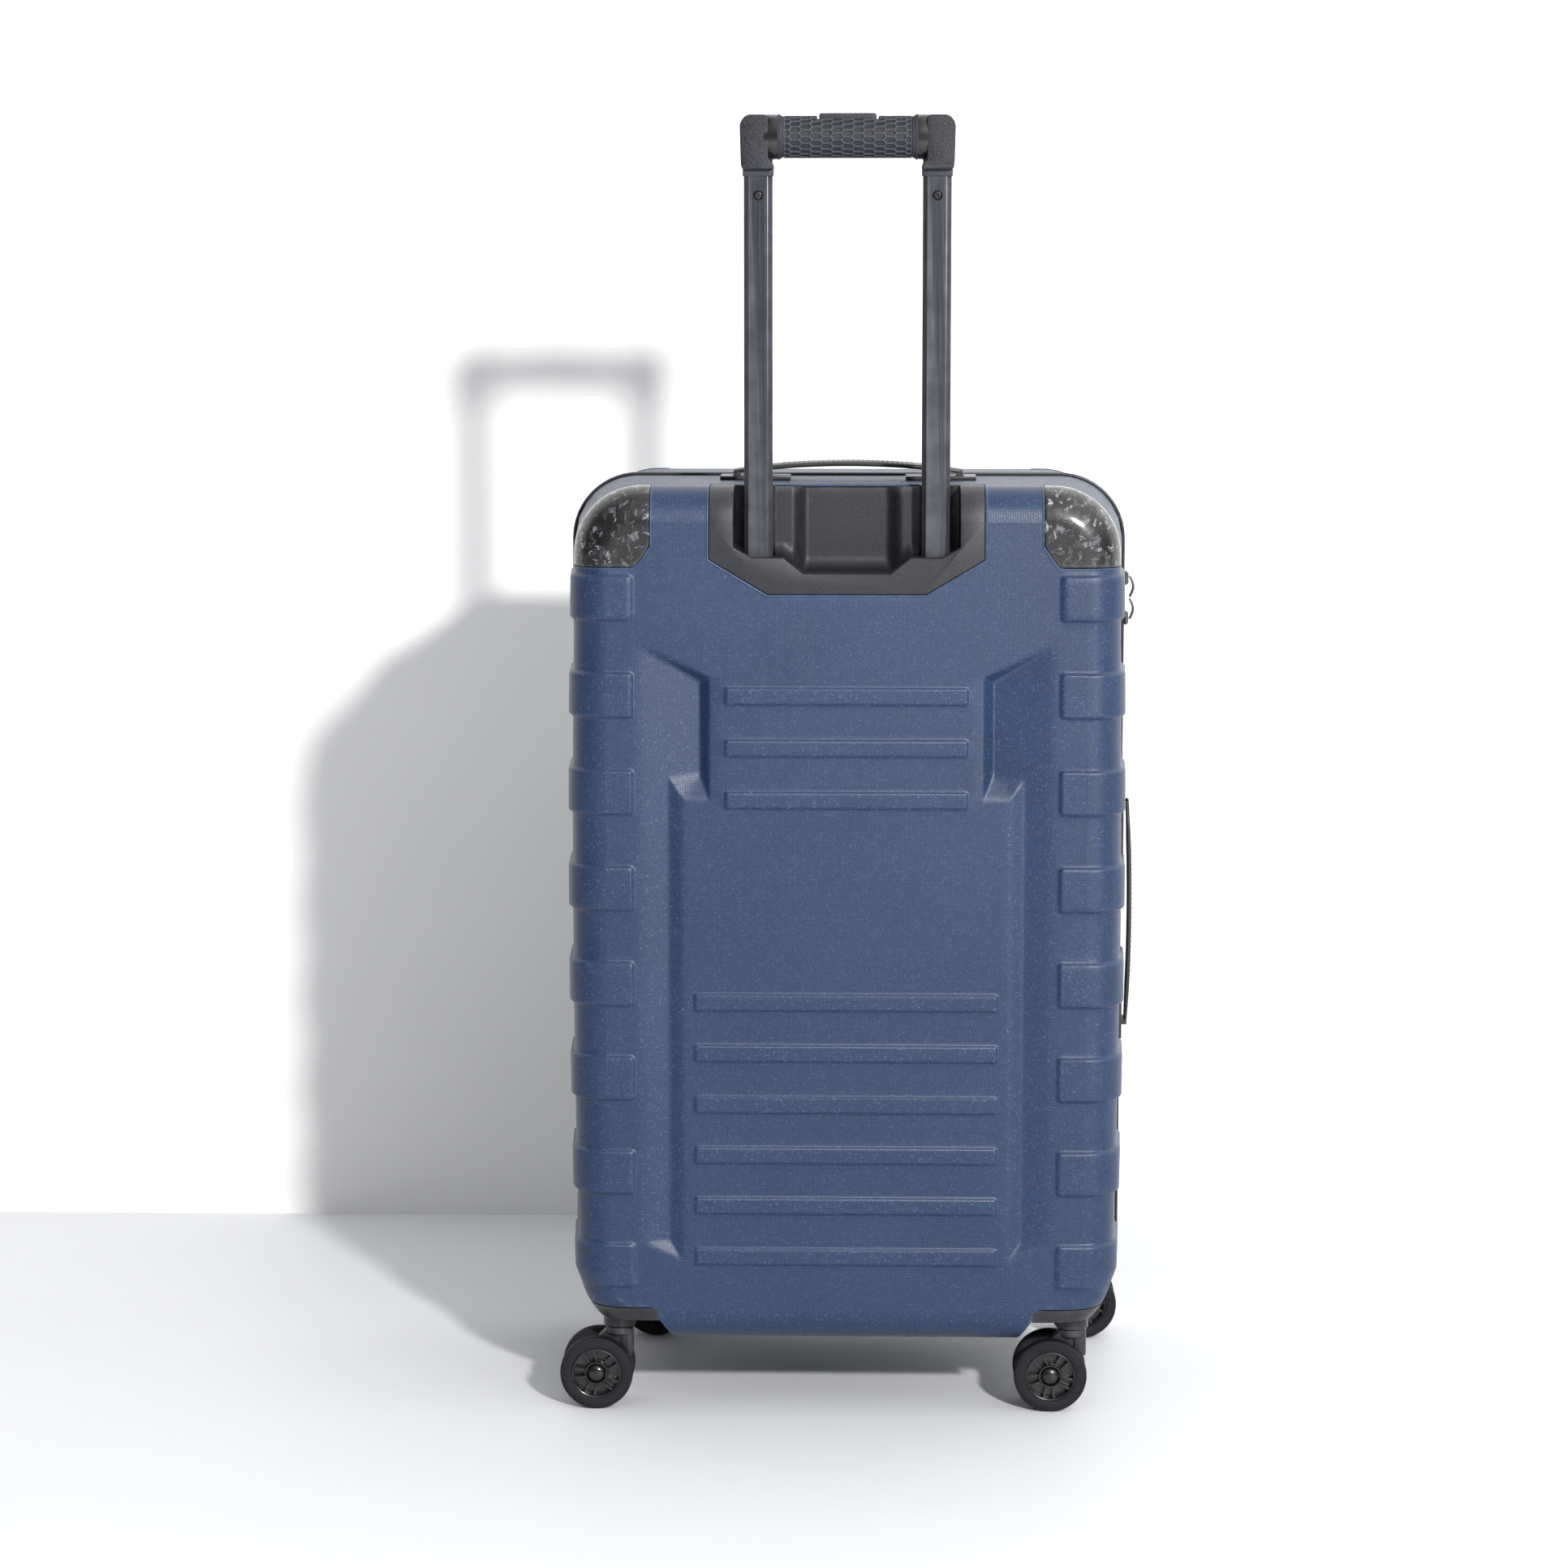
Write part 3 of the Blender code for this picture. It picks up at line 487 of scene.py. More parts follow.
def makeShellLook(name, settings):
    tree, shader, coords = newLook(name, settings["roughness"], **{"Specular IOR Level": 0.42})
    flat = put(tree, "ShaderNodeUVMap", uv_map="unrolled").outputs[0]
    weave = useGroup(tree, "weave", {"Vector": flat, "Pitch": settings["pitch"]})
    grain = useGroup(tree, "grain", {"Vector": coords, "Scale": 1500.0})
    wearAndHighlight = useGroup(tree, "wearAndHighlight", {"Vector": coords, "Sharpness": 0.5})
    cells = put(tree, "ShaderNodeTexVoronoi", {"Vector": coords, "Scale": 1 / settings["sparkle"]},
                feature="F1").outputs["Color"]
    facet = put(tree, "ShaderNodeSeparateColor", {0: cells}).outputs[0]
    # painted shade: the weave's low threads are darkened towards the valley shade colour
    colour = mixed(tree, ranged(tree, weave["Thread"], 0.15, 0.80), settings["valleyShade"], settings["colour"])
    # random cells darkened towards the same colour
    colour = mixed(tree, maths(tree, "MULTIPLY", facet, 0.30), colour, settings["valleyShade"])
    colour = mixed(tree, maths(tree, "MULTIPLY", grain["Patch"], 0.08), colour, settings["haze"])
    # painted glints: specks where the grain is high are lightened towards the worn and highlight colour
    glint = maths(tree, "MULTIPLY", ranged(tree, grain["Height"], 0.70, 0.98),
                  ranged(tree, facet, 0.5, 1.0, 0.1, 0.6))
    colour = mixed(tree, glint, colour, settings["wornAndHighlight"])
    # edges lightened: rubbed wear and a painted highlight along sharp edges such as the pads and ribs
    colour = mixed(tree, maths(tree, "MULTIPLY", wearAndHighlight["Edge"], 0.35), colour, settings["wornAndHighlight"])
    tree.links.new(colour, shader.inputs["Base Color"])
    gloss = ranged(tree, weave["Thread"], 0.0, 1.0, settings["roughness"] + 0.14,
                   settings["roughness"] - 0.05)
    tree.links.new(maths(tree, "MULTIPLY", gloss, ranged(tree, facet, 0.0, 1.0, 0.93, 1.12)),
                   shader.inputs["Roughness"])
    height = maths(tree, "MULTIPLY", grain["Height"], 0.5)
    bumped(tree, shader, maths(tree, "ADD", height, weave["Height"]), settings["depth"], 0.8)


def makeCarbonLook(name):
    tree, shader, coords = newLook(name, 0.34, **{"Coat Weight": 0.8, "Coat Roughness": 0.13,
                                                  "Specular IOR Level": 0.3})
    chips = useGroup(tree, "flakes", {"Vector": coords, "Size": 0.0070})
    ramp = put(tree, "ShaderNodeValToRGB", {0: chips["Tone"]})
    stops = ramp.color_ramp.elements
    stops[0].position, stops[0].color = 0.04, tone(5, 5, 6)
    stops[1].position, stops[1].color = 0.88, tone(146, 149, 155)
    for place, grey in ((0.18, 24), (0.42, 64)):
        stops.new(place).color = tone(grey, grey, grey + 3)
    tree.links.new(ramp.outputs[0], shader.inputs["Base Color"])
    tree.links.new(ranged(tree, chips["Tone"], 0.0, 0.6, 0.46, 0.24), shader.inputs["Roughness"])
    bumped(tree, shader, chips["Height"], 0.00005, 0.5)


plainLooks = {
    # name: colour, worn and painted highlight colour, roughness, metallic, grain scale, grain depth, coat,
    # specular level
    "blackPlastic": (tone(14, 15, 20), tone(98, 99, 107), 0.42, 0.0, 1300.0, 0.00006, 0.0, 0.34),
    "housingPlastic": (tone(15, 16, 20), tone(88, 89, 94), 0.36, 0.0, 1100.0, 0.00004, 0.10, 0.40),
    "capPlastic": (tone(12, 13, 18), tone(118, 121, 132), 0.43, 0.0, 1100.0, 0.00014, 0.0, 0.25),
    "gripRubber": (tone(29, 31, 38), tone(92, 95, 106), 0.64, 0.0, 1700.0, 0.00006, 0.0, 0.24),
    "strapRubber": (tone(14, 14, 17), tone(62, 62, 67), 0.42, 0.0, 1200.0, 0.00004, 0.05, 0.40),
    "tyreRubber": (tone(16, 17, 20), tone(60, 60, 64), 0.66, 0.0, 1400.0, 0.00007, 0.0, 0.15),
    "hubPlastic": (tone(7, 7, 9), tone(50, 50, 54), 0.22, 0.0, 700.0, 0.00002, 0.3, 0.45),
    "blackSteel": (tone(38, 38, 42), tone(150, 150, 155), 0.34, 0.85, 900.0, 0.00002, 0.0, 0.5),
    "honeycombRubber": (tone(43, 45, 53), tone(116, 119, 130), 0.55, 0.0, 1500.0, 0.00005, 0.0, 0.36),
    "piping": (tone(16, 16, 20), tone(88, 88, 94), 0.36, 0.0, 900.0, 0.00003, 0.15, 0.45),
}


def makePlainLook(name, colour, wornAndHighlight, roughness, metallic, scale, depth, coat, level):
    # Moulded or painted: fine grain, slow patches of gloss, lighter edges (rubbed wear and a painted
    # highlight) and dust in the hollows.
    fixed = {"Coat Weight": coat, "Coat Roughness": 0.3, "Specular IOR Level": level}
    tree, shader, coords = newLook(name, roughness, metallic, **fixed)
    grain = useGroup(tree, "grain", {"Vector": coords, "Scale": scale})
    wearAndHighlight = useGroup(tree, "wearAndHighlight", {"Vector": coords, "Sharpness": 0.8})
    shade = mixed(tree, maths(tree, "MULTIPLY", grain["Height"], 0.10), colour, wornAndHighlight)
    # edges lightened: rubbed wear and a painted highlight along sharp edges
    shade = mixed(tree, maths(tree, "MULTIPLY", wearAndHighlight["Edge"], 0.40), shade, wornAndHighlight)
    shade = mixed(tree, maths(tree, "MULTIPLY", wearAndHighlight["Dust"], 0.12), shade, tone(120, 118, 114))
    if name == "honeycombRubber":
        # painted shade: the sunken cells are darkened to near black, with fine dots in them
        sunk = put(tree, "ShaderNodeAttribute", attribute_name="sunk").outputs["Fac"]
        dots = useGroup(tree, "weave", {"Vector": coords, "Pitch": 0.0009})["Thread"]
        shade = mixed(tree, sunk, shade, mixed(tree, dots, tone(12, 12, 15), tone(30, 31, 37)))
    tree.links.new(shade, shader.inputs["Base Color"])
    tree.links.new(ranged(tree, grain["Patch"], 0.0, 1.0, roughness - 0.05, roughness + 0.07),
                   shader.inputs["Roughness"])
    bumped(tree, shader, grain["Height"], depth)


def makeAlloyLook(name, colour, light, roughness, metallic):
    # Anodised tube: fine lines along its length in the colour and the gloss.
    tree, shader, coords = newLook(name, roughness, metallic)
    drawn = put(tree, "ShaderNodeMapping", {0: coords, "Scale": (2600.0, 2600.0, 14.0)}).outputs[0]
    lines = put(tree, "ShaderNodeTexNoise", {"Vector": drawn, "Scale": 1.0, "Detail": 2.0}).outputs[0]
    wearAndHighlight = useGroup(tree, "wearAndHighlight", {"Vector": coords, "Sharpness": 0.7})
    shade = mixed(tree, ranged(tree, lines, 0.3, 0.7), colour, light)
    # edges lightened towards pale grey: rubbed wear and a painted highlight
    shade = mixed(tree, maths(tree, "MULTIPLY", wearAndHighlight["Edge"], 0.35), shade, tone(150, 151, 158))
    tree.links.new(shade, shader.inputs["Base Color"])
    tree.links.new(ranged(tree, lines, 0.3, 0.7, roughness - 0.05, roughness + 0.08),
                   shader.inputs["Roughness"])
    bumped(tree, shader, lines, 0.00002, 0.5)


def makeClothLook(name, colour, dark, pitch, depth, mapped=None):
    # Woven cloth, from a UV map where the piece has one; the low threads are darkened towards the dark colour
    # as painted shade between the threads.
    tree, shader, coords = newLook(name, 0.88, **{"Sheen Weight": 0.35, "Sheen Roughness": 0.45})
    flat = put(tree, "ShaderNodeUVMap", uv_map=mapped).outputs[0] if mapped else coords
    threads = useGroup(tree, "threads", {"Vector": flat, "Pitch": pitch})
    broad = useGroup(tree, "grain", {"Vector": coords, "Scale": 1900.0})
    # painted shade: darker where the threads lie low
    shade = mixed(tree, threads["Height"], dark, colour)
    shade = mixed(tree, maths(tree, "MULTIPLY", broad["Patch"], 0.05), shade, tone(150, 150, 156))
    tree.links.new(shade, shader.inputs["Base Color"])
    tree.links.new(ranged(tree, threads["Height"], 0.0, 1.0, 0.95, 0.78), shader.inputs["Roughness"])
    bumped(tree, shader, threads["Height"], depth)


makeShellLook("shellPlastic", shellLook)
makeCarbonLook("forgedCarbon")
for lookName, row in plainLooks.items():
    makePlainLook(lookName, *row)
makeAlloyLook("tubeAlloy", tone(25, 26, 32), tone(47, 49, 57), 0.37, 0.55)
makeAlloyLook("innerAlloy", tone(96, 97, 102), tone(140, 141, 146), 0.42, 0.85)
makeClothLook("liningCloth", tone(62, 65, 76), tone(34, 36, 44), 0.0011, 0.00012, "unrolled")
makeClothLook("zipTape", tone(26, 26, 30), tone(12, 12, 14), 0.0009, 0.00010)
print("finishes made:", len(materials))


# The body's skin.

case = {
    "halfDepth": 0.152, "halfWidth": 0.226, "draft": 0.0427, "barrel": 0.0035, "barrelMid": 0.412,
    "bottomZ": 0.0608, "topZ": 0.7565, "topDraft": 0.014, "cornerTop": 0.052, "cornerBottom": 0.058,
    "edge": 0.027, "wall": 0.0032, "rim": 0.0036, "gap": 0.0003, "middleZ": 0.4,
}
faceHalf = case["halfWidth"] - case["draft"] * case["halfDepth"] - case["edge"]
faceTop = case["topZ"] - case["topDraft"] * case["halfDepth"] - case["edge"]
faceBottom = case["bottomZ"] + case["edge"]
bendRun = case["edge"] * math.pi / 2                      # the way over the rounded edge
straightDepth = case["halfDepth"] - case["edge"]
freeStrip = 0.0105                                        # where lines give way to the draft and the barrel


def sideWidth(depth, z):
    bulge = case["barrel"] * ((z - case["barrelMid"]) / 0.3) ** 2 * np.minimum(1.0, depth / 0.110)
    return case["halfWidth"] - case["draft"] * depth - bulge


def runTo(depth):
    # The way from the face's border to a depth on the straight side.
    return bendRun + straightDepth - depth


def skin(x, z, run, side, lift=0.0):
    # A point of the body's skin and its normal. x and z lie in the face's rectangle, whose corners are
    # rounded here: in a corner square, the point at p moves to p * max(p) / |p|. A border point then goes on
    # over the rounded edge (a quarter circle of the edge radius) and down the drafted side by run. lift moves
    # it along the normal.
    x, z, run = np.broadcast_arrays(np.asarray(x, float), np.asarray(z, float), np.asarray(run, float))
    hand, wide = np.where(x < 0, -1.0, 1.0), np.abs(x)
    upper = z > case["middleZ"]
    corner = np.where(upper, case["cornerTop"], case["cornerBottom"])
    ring = corner - case["edge"]
    midX = faceHalf - ring
    midZ = np.where(upper, faceTop - ring, faceBottom + ring)
    up = np.where(upper, 1.0, -1.0)
    px = np.clip(wide - midX, 0, None)
    pz = np.clip((z - midZ) * up, 0, None)
    both = (px > 1e-9) & (pz > 1e-9)
    squeeze = np.where(both, np.maximum(px, pz) / np.maximum(np.hypot(px, pz), 1e-9), 1.0)
    px, pz = px * squeeze, pz * squeeze
    turn = np.clip(run / case["edge"], 0, math.pi / 2)
    depth = np.where(run <= bendRun, straightDepth + case["edge"] * np.cos(turn),
                     straightDepth - (run - bendRun))
    reach = 1 + case["edge"] * np.sin(turn) / ring
    midZNow = np.where(upper, case["topZ"] - case["topDraft"] * depth - case["cornerTop"], midZ)
    restZ = np.where(upper, np.minimum(z, midZ), np.maximum(z, midZ))
    strip = np.clip((restZ - (midZ - freeStrip)) / freeStrip, 0, 1) * upper
    newZ = restZ + (midZNow - midZ) * strip + up * pz * reach
    shift = sideWidth(depth, newZ) - corner - midX
    loose = np.clip((np.minimum(wide, midX) - (midX - freeStrip)) / freeStrip, 0, 1)
    newX = hand * (np.minimum(wide, midX) + shift * loose + px * reach)
    aside, above = hand * px / ring * np.sin(turn), up * pz / ring * np.sin(turn)
    normal = np.stack([aside, side * np.cos(turn), above], -1)
    normal[run <= 0] = (0.0, side, 0.0)
    normal /= np.maximum(np.linalg.norm(normal, axis=-1, keepdims=True), 1e-9)
    point = np.stack([newX, side * depth, newZ], -1) + normal * np.asarray(lift)[..., None]
    return point, normal


def skinUv(x, z, run, point):
    # Unrolled coordinates in metres: the face as it lies, and the sides folded out flat.
    hand, wide = np.where(x < 0, -1.0, 1.0), np.abs(x)
    flatX = np.where(run > 0, point[..., 0] * 0 + x, point[..., 0])
    right = (wide >= faceHalf - 1e-6)
    topBottom = (z >= faceTop - 1e-6) | (z <= faceBottom + 1e-6)
    u = flatX + np.where(right, hand * run, 0.0)
    v = np.where(topBottom & (run > 0), z + np.sign(z - case["middleZ"]) * run, point[..., 2])
    return np.stack([u, v], -1)


relief = {
    "padInnerX": 0.169, "padHalf": 0.0192, "padCorner": 0.0042, "padFace": 0.0022, "padSide": 0.0034,
    "padReach": 0.062,
    "padCentres": [0.6675, 0.5898, 0.5119, 0.4341, 0.3566, 0.2796, 0.2024, 0.1253], "padSlope": 0.0034,
    "ribHalf": 0.0080, "ribCorner": 0.0030, "ribRise": 0.0018, "ribSlope": 0.0030,
    "upperRibs": ([0.5892, 0.5476, 0.5058], 0.0976),
    "lowerRibs": ([0.3419, 0.3003, 0.2582, 0.2167, 0.1751, 0.1329], 0.1226),
    "facetDepth": 0.009, "facetSoft": 0.0005,
}
lowerSink = relief["facetDepth"] * (0.163 - 0.1415) / (0.163 - 0.117)
upperFacet = [
    (0.163, 0.629, 0.0), (0.109, 0.6046, 0.0), (0.117, 0.600, 0.009), (0.117, 0.5253, 0.009),
    (0.109, 0.507, 0.0),
    (0.1315, 0.507, 0.0), (0.1415, 0.5278, lowerSink), (0.163, 0.520, 0.0),
]
lowerFacet = [
    (0.163, 0.560, 0.0), (0.1415, 0.5395, lowerSink), (0.1315, 0.535, 0.0),
    (0.1315, 0.1303, 0.0), (0.1415, 0.1457, lowerSink), (0.163, 0.145, 0.0),
]


def smoothStep(value, low, high):
    t = np.clip((value - low) / (high - low), 0, 1)
    return t * t * (3 - 2 * t)


def roundedBox(a, b, corner):
    # Signed distance to a rounded rectangle, from the distances past its straight sides.
    qa, qb = a + corner, b + corner
    return np.hypot(np.maximum(qa, 0), np.maximum(qb, 0)) + np.minimum(np.maximum(qa, qb), 0) - corner


def planesOver(points):
    # The planes through three of a facet's points that no point lies above; their least value is its hollow.
    points = np.array(points)
    rows = []
    for i in range(len(points)):
        for j in range(i + 1, len(points)):
            for k in range(j + 1, len(points)):
                chosen = points[[i, j, k]]
                system = np.column_stack([chosen[:, :2], np.ones(3)])
                if abs(np.linalg.det(system)) < 1e-9:
                    continue
                plane = np.linalg.solve(system, chosen[:, 2])
                if np.all(points[:, :2] @ plane[:2] + plane[2] >= points[:, 2] - 1e-7):
                    if not any(np.allclose(plane, other, atol=1e-5) for other in rows):
                        rows.append(plane)
    return np.array(rows)


def hollow(planes, wide, z):
    # Soft minimum of the planes, then a soft floor at zero.
    soft = relief["facetSoft"]
    values = np.stack([a * wide + b * z + c for a, b, c in planes])
    least = values.min(0)
    least = least - soft * np.log(np.exp(-(values - least) / soft).sum(0))
    return soft * np.log1p(np.exp(np.clip((least + 0.3 * soft) / soft, -40, 40)))


facetPlanes = [planesOver(upperFacet), planesOver(lowerFacet)]


def reliefOf(point, run):
    # Height over the plain skin: pads and ribs stand up, facets sink.
    wide, depth, z = np.abs(point[..., 0]), np.abs(point[..., 1]), point[..., 2]
    over = np.sin(np.clip(run / case["edge"], 0, math.pi / 2))
    height = np.zeros(wide.shape)
    across = np.where(run > 0, -1.0, relief["padInnerX"] - wide)
    across = np.maximum(across, relief["padReach"] - depth)
    rise = relief["padFace"] + (relief["padSide"] - relief["padFace"]) * over
    for centre in relief["padCentres"]:
        distance = roundedBox(across, np.abs(z - centre) - relief["padHalf"], relief["padCorner"])
        height = np.maximum(height, rise * smoothStep(-distance, -0.0004, relief["padSlope"]) * (wide > 0.15))
    for centres, half in (relief["upperRibs"], relief["lowerRibs"]):
        for centre in centres:
            distance = roundedBox(wide - half, np.abs(z - centre) - relief["ribHalf"], relief["ribCorner"])
            rib = relief["ribRise"] * smoothStep(-distance, -0.0003, relief["ribSlope"])
            height = np.maximum(height, np.where(run > 0, 0.0, rib))
    sink = np.maximum(hollow(facetPlanes[0], wide, z), hollow(facetPlanes[1], wide, z))
    sink = np.where((run > 0) | (sink < 2e-5), 0.0, sink)
    return height - sink


def lines(low, high, pitch, features, offsets):
    # Grid lines at an even pitch, with extra ones beside each feature, and none closer than 0.4 mm.
    places = [np.linspace(low, high, max(2, int(round((high - low) / pitch)) + 1))]
    places += [np.asarray(feature) + np.asarray(offsets) for feature in features]
    every = np.sort(np.concatenate([np.ravel(p) for p in places]))
    every = every[(every > low + 0.0004) & (every < high - 0.0004)]
    kept = [low]
    for place in every:
        if place - kept[-1] > 0.0004:
            kept.append(place)
    if high - kept[-1] < 0.0004:
        kept.pop()
    return np.array(kept + [high])


def shellLines():
    coarse = 1.0
    stepOut = np.array([-0.0006, 0.0003, 0.0011, 0.0019, 0.0027, 0.0036])
    half = np.concatenate([
        np.linspace(0, 0.0925, int(8 / coarse) + 2),
        0.0976 - stepOut, 0.1226 - stepOut, 0.169 + stepOut,
        np.arange(0.1078, 0.1195, 0.00085 * coarse), np.arange(0.1300, 0.1435, 0.0011 * coarse),
        np.arange(0.1215, 0.1300, 0.0024 * coarse), np.arange(0.1440, 0.1680, 0.0024 * coarse),
        np.linspace(0.1735, faceHalf, int(7 / coarse) + 2),
    ])
    half = np.sort(half)
    kept = [0.0]
    for place in half:
        if place - kept[-1] > 0.0004:
            kept.append(place)
    half = np.array(kept)
    half[-1] = faceHalf
    xs = np.concatenate([-half[:0:-1], half])
    features = []
    for centre in relief["padCentres"]:
        features += [centre + relief["padHalf"] - stepOut, centre - relief["padHalf"] + stepOut]
    for centre in relief["upperRibs"][0] + relief["lowerRibs"][0]:
        features += [centre + relief["ribHalf"] - stepOut, centre - relief["ribHalf"] + stepOut]
    features += [np.arange(0.504, 0.632, 0.0021 * coarse), np.arange(0.128, 0.150, 0.0018 * coarse)]
    zs = lines(faceBottom, faceTop, 0.0080 * coarse, features, 0.0)
    return xs, zs


def borderOf(xs, zs):
    # The face's border as one closed line of (x, z): up the right side and round.
    x = np.concatenate([np.full(len(zs) - 1, xs[-1]), xs[:0:-1], np.full(len(zs) - 1, xs[0]), xs[:-1]])
    z = np.concatenate([zs[:-1], np.full(len(xs) - 1, zs[-1]), zs[:0:-1], np.full(len(xs) - 1, zs[0])])
    return x, z


def wallRuns():
    coarse = 1
    bend = np.linspace(0, bendRun, 10 // coarse + 1)[1:]
    near = relief["padReach"]
    depths = np.concatenate([
        np.linspace(straightDepth, near + 0.006, 7 // coarse + 1)[1:],
        near + np.array([0.0040, 0.0028, 0.0018, 0.0008, -0.0004])[::coarse],
        np.linspace(near - 0.004, case["rim"] + 0.0008, 6),
    ])
    return np.concatenate([bend, runTo(depths)])


def shellShape(side):
    # One half of the case as a closed wall: a grid over the face, rings over the rounded edge and down the
    # side, the rim turned in, and a plain inner wall with a flat end. Returns points, faces and unrolled
    # coordinates.
    xs, zs = shellLines()
    faceX, faceZ = np.meshgrid(xs, zs)
    flat, normal = skin(faceX, faceZ, np.zeros(faceX.shape), side)
    rise = reliefOf(flat, np.zeros(faceX.shape))
    facePoints = flat + normal * rise[..., None]
    faceUv = flat[..., [0, 2]]
    borderX, borderZ = borderOf(xs, zs)
    runs = np.concatenate([[0.0], wallRuns()])
    gridX, gridRun = np.meshgrid(borderX, runs)
    gridZ = np.broadcast_to(borderZ, gridX.shape)
    wallFlat, wallNormal = skin(gridX, gridZ, gridRun, side)
    wallRise = reliefOf(wallFlat, gridRun)
    wallRise[0] = reliefOf(skin(borderX, borderZ, np.zeros(len(borderX)), side)[0], np.zeros(len(borderX)))
    wallPoints = wallFlat + wallNormal * wallRise[..., None]
    wallUv = skinUv(gridX, gridZ, gridRun, wallFlat)
    lip, thick = 0.0007, case["wall"]
    last = runs[-1] + lip
    base, out = skin(borderX, borderZ, np.full(len(borderX), last), side)
    rimRows = [base - out * 0.0004, base - out * 0.0010, base - out * thick]
    rimRows[0][:, 1] = side * (case["rim"] + 0.0002)
    rimRows[1][:, 1] = side * case["rim"]
    rimRows[2][:, 1] = side * case["rim"]
    for depth in (0.012, 0.070, 0.118):
        inner, away = skin(borderX, borderZ, np.full(len(borderX), runTo(depth)), side)
        rimRows.append(inner - away * thick)
    for turn in (0.5, 0.78, 1.02):
        inner, away = skin(borderX, borderZ, np.full(len(borderX), bendRun - turn * case["edge"]), side)
        rimRows.append(inner - away * thick)
    rimRows[-1][:, 1] = side * 0.139
    every = np.concatenate([wallPoints, np.array(rimRows)])
    everyUv = np.concatenate([wallUv, np.broadcast_to(wallUv[-1], (len(rimRows),) + wallUv[-1].shape)])
    points, faces = merged([sheetOf(facePoints), rings(every, caps=(False, True))])
    uv = np.concatenate([faceUv.reshape(-1, 2), everyUv.reshape(-1, 2)])
    if side < 0:
        faces = [face[::-1] for face in faces]
    return points, faces, uv


def toUnrolled(mesh, uv):
    # Lays the unrolled coordinates on the mesh's corners.
    layer = mesh.uv_layers.new(name="unrolled")
    index = np.zeros(len(mesh.loops), np.int32)
    mesh.loops.foreach_get("vertex_index", index)
    layer.data.foreach_set("uv", uv[index].astype(np.float32).ravel())


# Openings of the shells, as outlines seen from the face or in the place where a fitting sits
openings = {
    "tray": [(0.0628, 0.6706), (0.1092, 0.6983), (0.1092, 0.80)], "flangeY": 0.110, "trayBackY": -0.105,
    "guardX": 0.1565, "guardZ": 0.6918, "guardCorner": 0.0155, "guardY": 0.118, "guardRise": 0.0006,
    "pocketX": 0.1503, "pocketY": 0.068, "pocketTop": 0.0903, "pocketBottom": 0.0790,
    "handleY": -0.0430, "sideHandleZ": 0.3995, "lockY": 0.0230, "lockZ": 0.6530,
}


def mirrored(half):
    return half + [(-x, z) for x, z in half[::-1]]


def trayOutline(spread):
    (x0, z0), (x1, z1), (x2, z2) = openings["tray"]
    return mirrored([(x0 + 0.5 * spread, z0 - spread), (x1 + spread, z1 - 0.5 * spread), (x2 + spread, z2)])


def topPlace(along, out, across):
    y = openings["handleY"] + across
    return (along, y, case["topZ"] - case["topDraft"] * abs(y) + out)


def sidePlace(along, out, across):
    y = openings["handleY"] + across
    return (float(sideWidth(abs(y), openings["sideHandleZ"])) + out, y, openings["sideHandleZ"] + along)


def placedBlock(place, a0, a1, o0, o1, c):
    lower = [place(a0, o, s) for o, s in ((o0, -c), (o1, -c), (o1, c), (o0, c))]
    upper = [place(a1, o, s) for o, s in ((o0, -c), (o1, -c), (o1, c), (o0, c))]
    return rings(np.array([lower, upper]))


def guardOpening(side, hand):
    gap = case["gap"]
    x0, z0, corner = openings["guardX"] - gap, openings["guardZ"] - gap, openings["guardCorner"]
    outline = [(x0, 0.80), (x0, z0 + corner + 0.0015), (x0 + corner, z0), (0.26, z0), (0.26, 0.80)]
    depths = sorted((side * (openings["guardY"] - gap), side * 0.20))
    return prism([(hand * x, z) for x, z in outline], "Y", *depths)


def pocketOpening(side, hand):
    x0, z1 = openings["pocketX"], openings["pocketTop"]
    outline = [
        (x0 + 0.009, z1), (x0 + 0.0055, z1 - 0.0006), (x0 + 0.0026, z1 - 0.0026), (x0 + 0.0006, z1 - 0.0055),
        (x0, z1 - 0.009),
        (x0, openings["pocketBottom"]), (0.1385, case["bottomZ"] - 0.001), (0.1385, 0.05), (0.26, 0.05),
        (0.26, z1),
    ]
    depths = sorted((side * openings["pocketY"], side * 0.20))
    return prism([(hand * x, z) for x, z in outline], "Y", *depths)


def addShell(name, side, body, extra):
    points, faces, uv = shellShape(side)
    mesh = bpy.data.meshes.new(name)
    mesh.from_pydata(points.tolist(), [], faces)
    toUnrolled(mesh, uv)
    work = bmesh.new()
    work.from_mesh(mesh)
    bmesh.ops.remove_doubles(work, verts=work.verts, dist=mergeDistance)
    work.to_mesh(mesh)
    work.free()
    mesh.shade_smooth()
    mesh.materials.append(materials["shellPlastic"])
    item = placed(name, mesh)
    cutters = [guardOpening(side, hand) for hand in (-1, 1)] + [pocketOpening(side, hand) for hand in (-1, 1)]
    carve(item, cutters + extra)
    item.data.name = name
    smoothed(item.data, 48)
    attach(item, body)
    return item


def handleSlots(place):
    return [placedBlock(place, *sorted((hand * 0.0852, hand * 0.0968)), -0.020, 0.020,
                        0.0128) for hand in (-1, 1)]


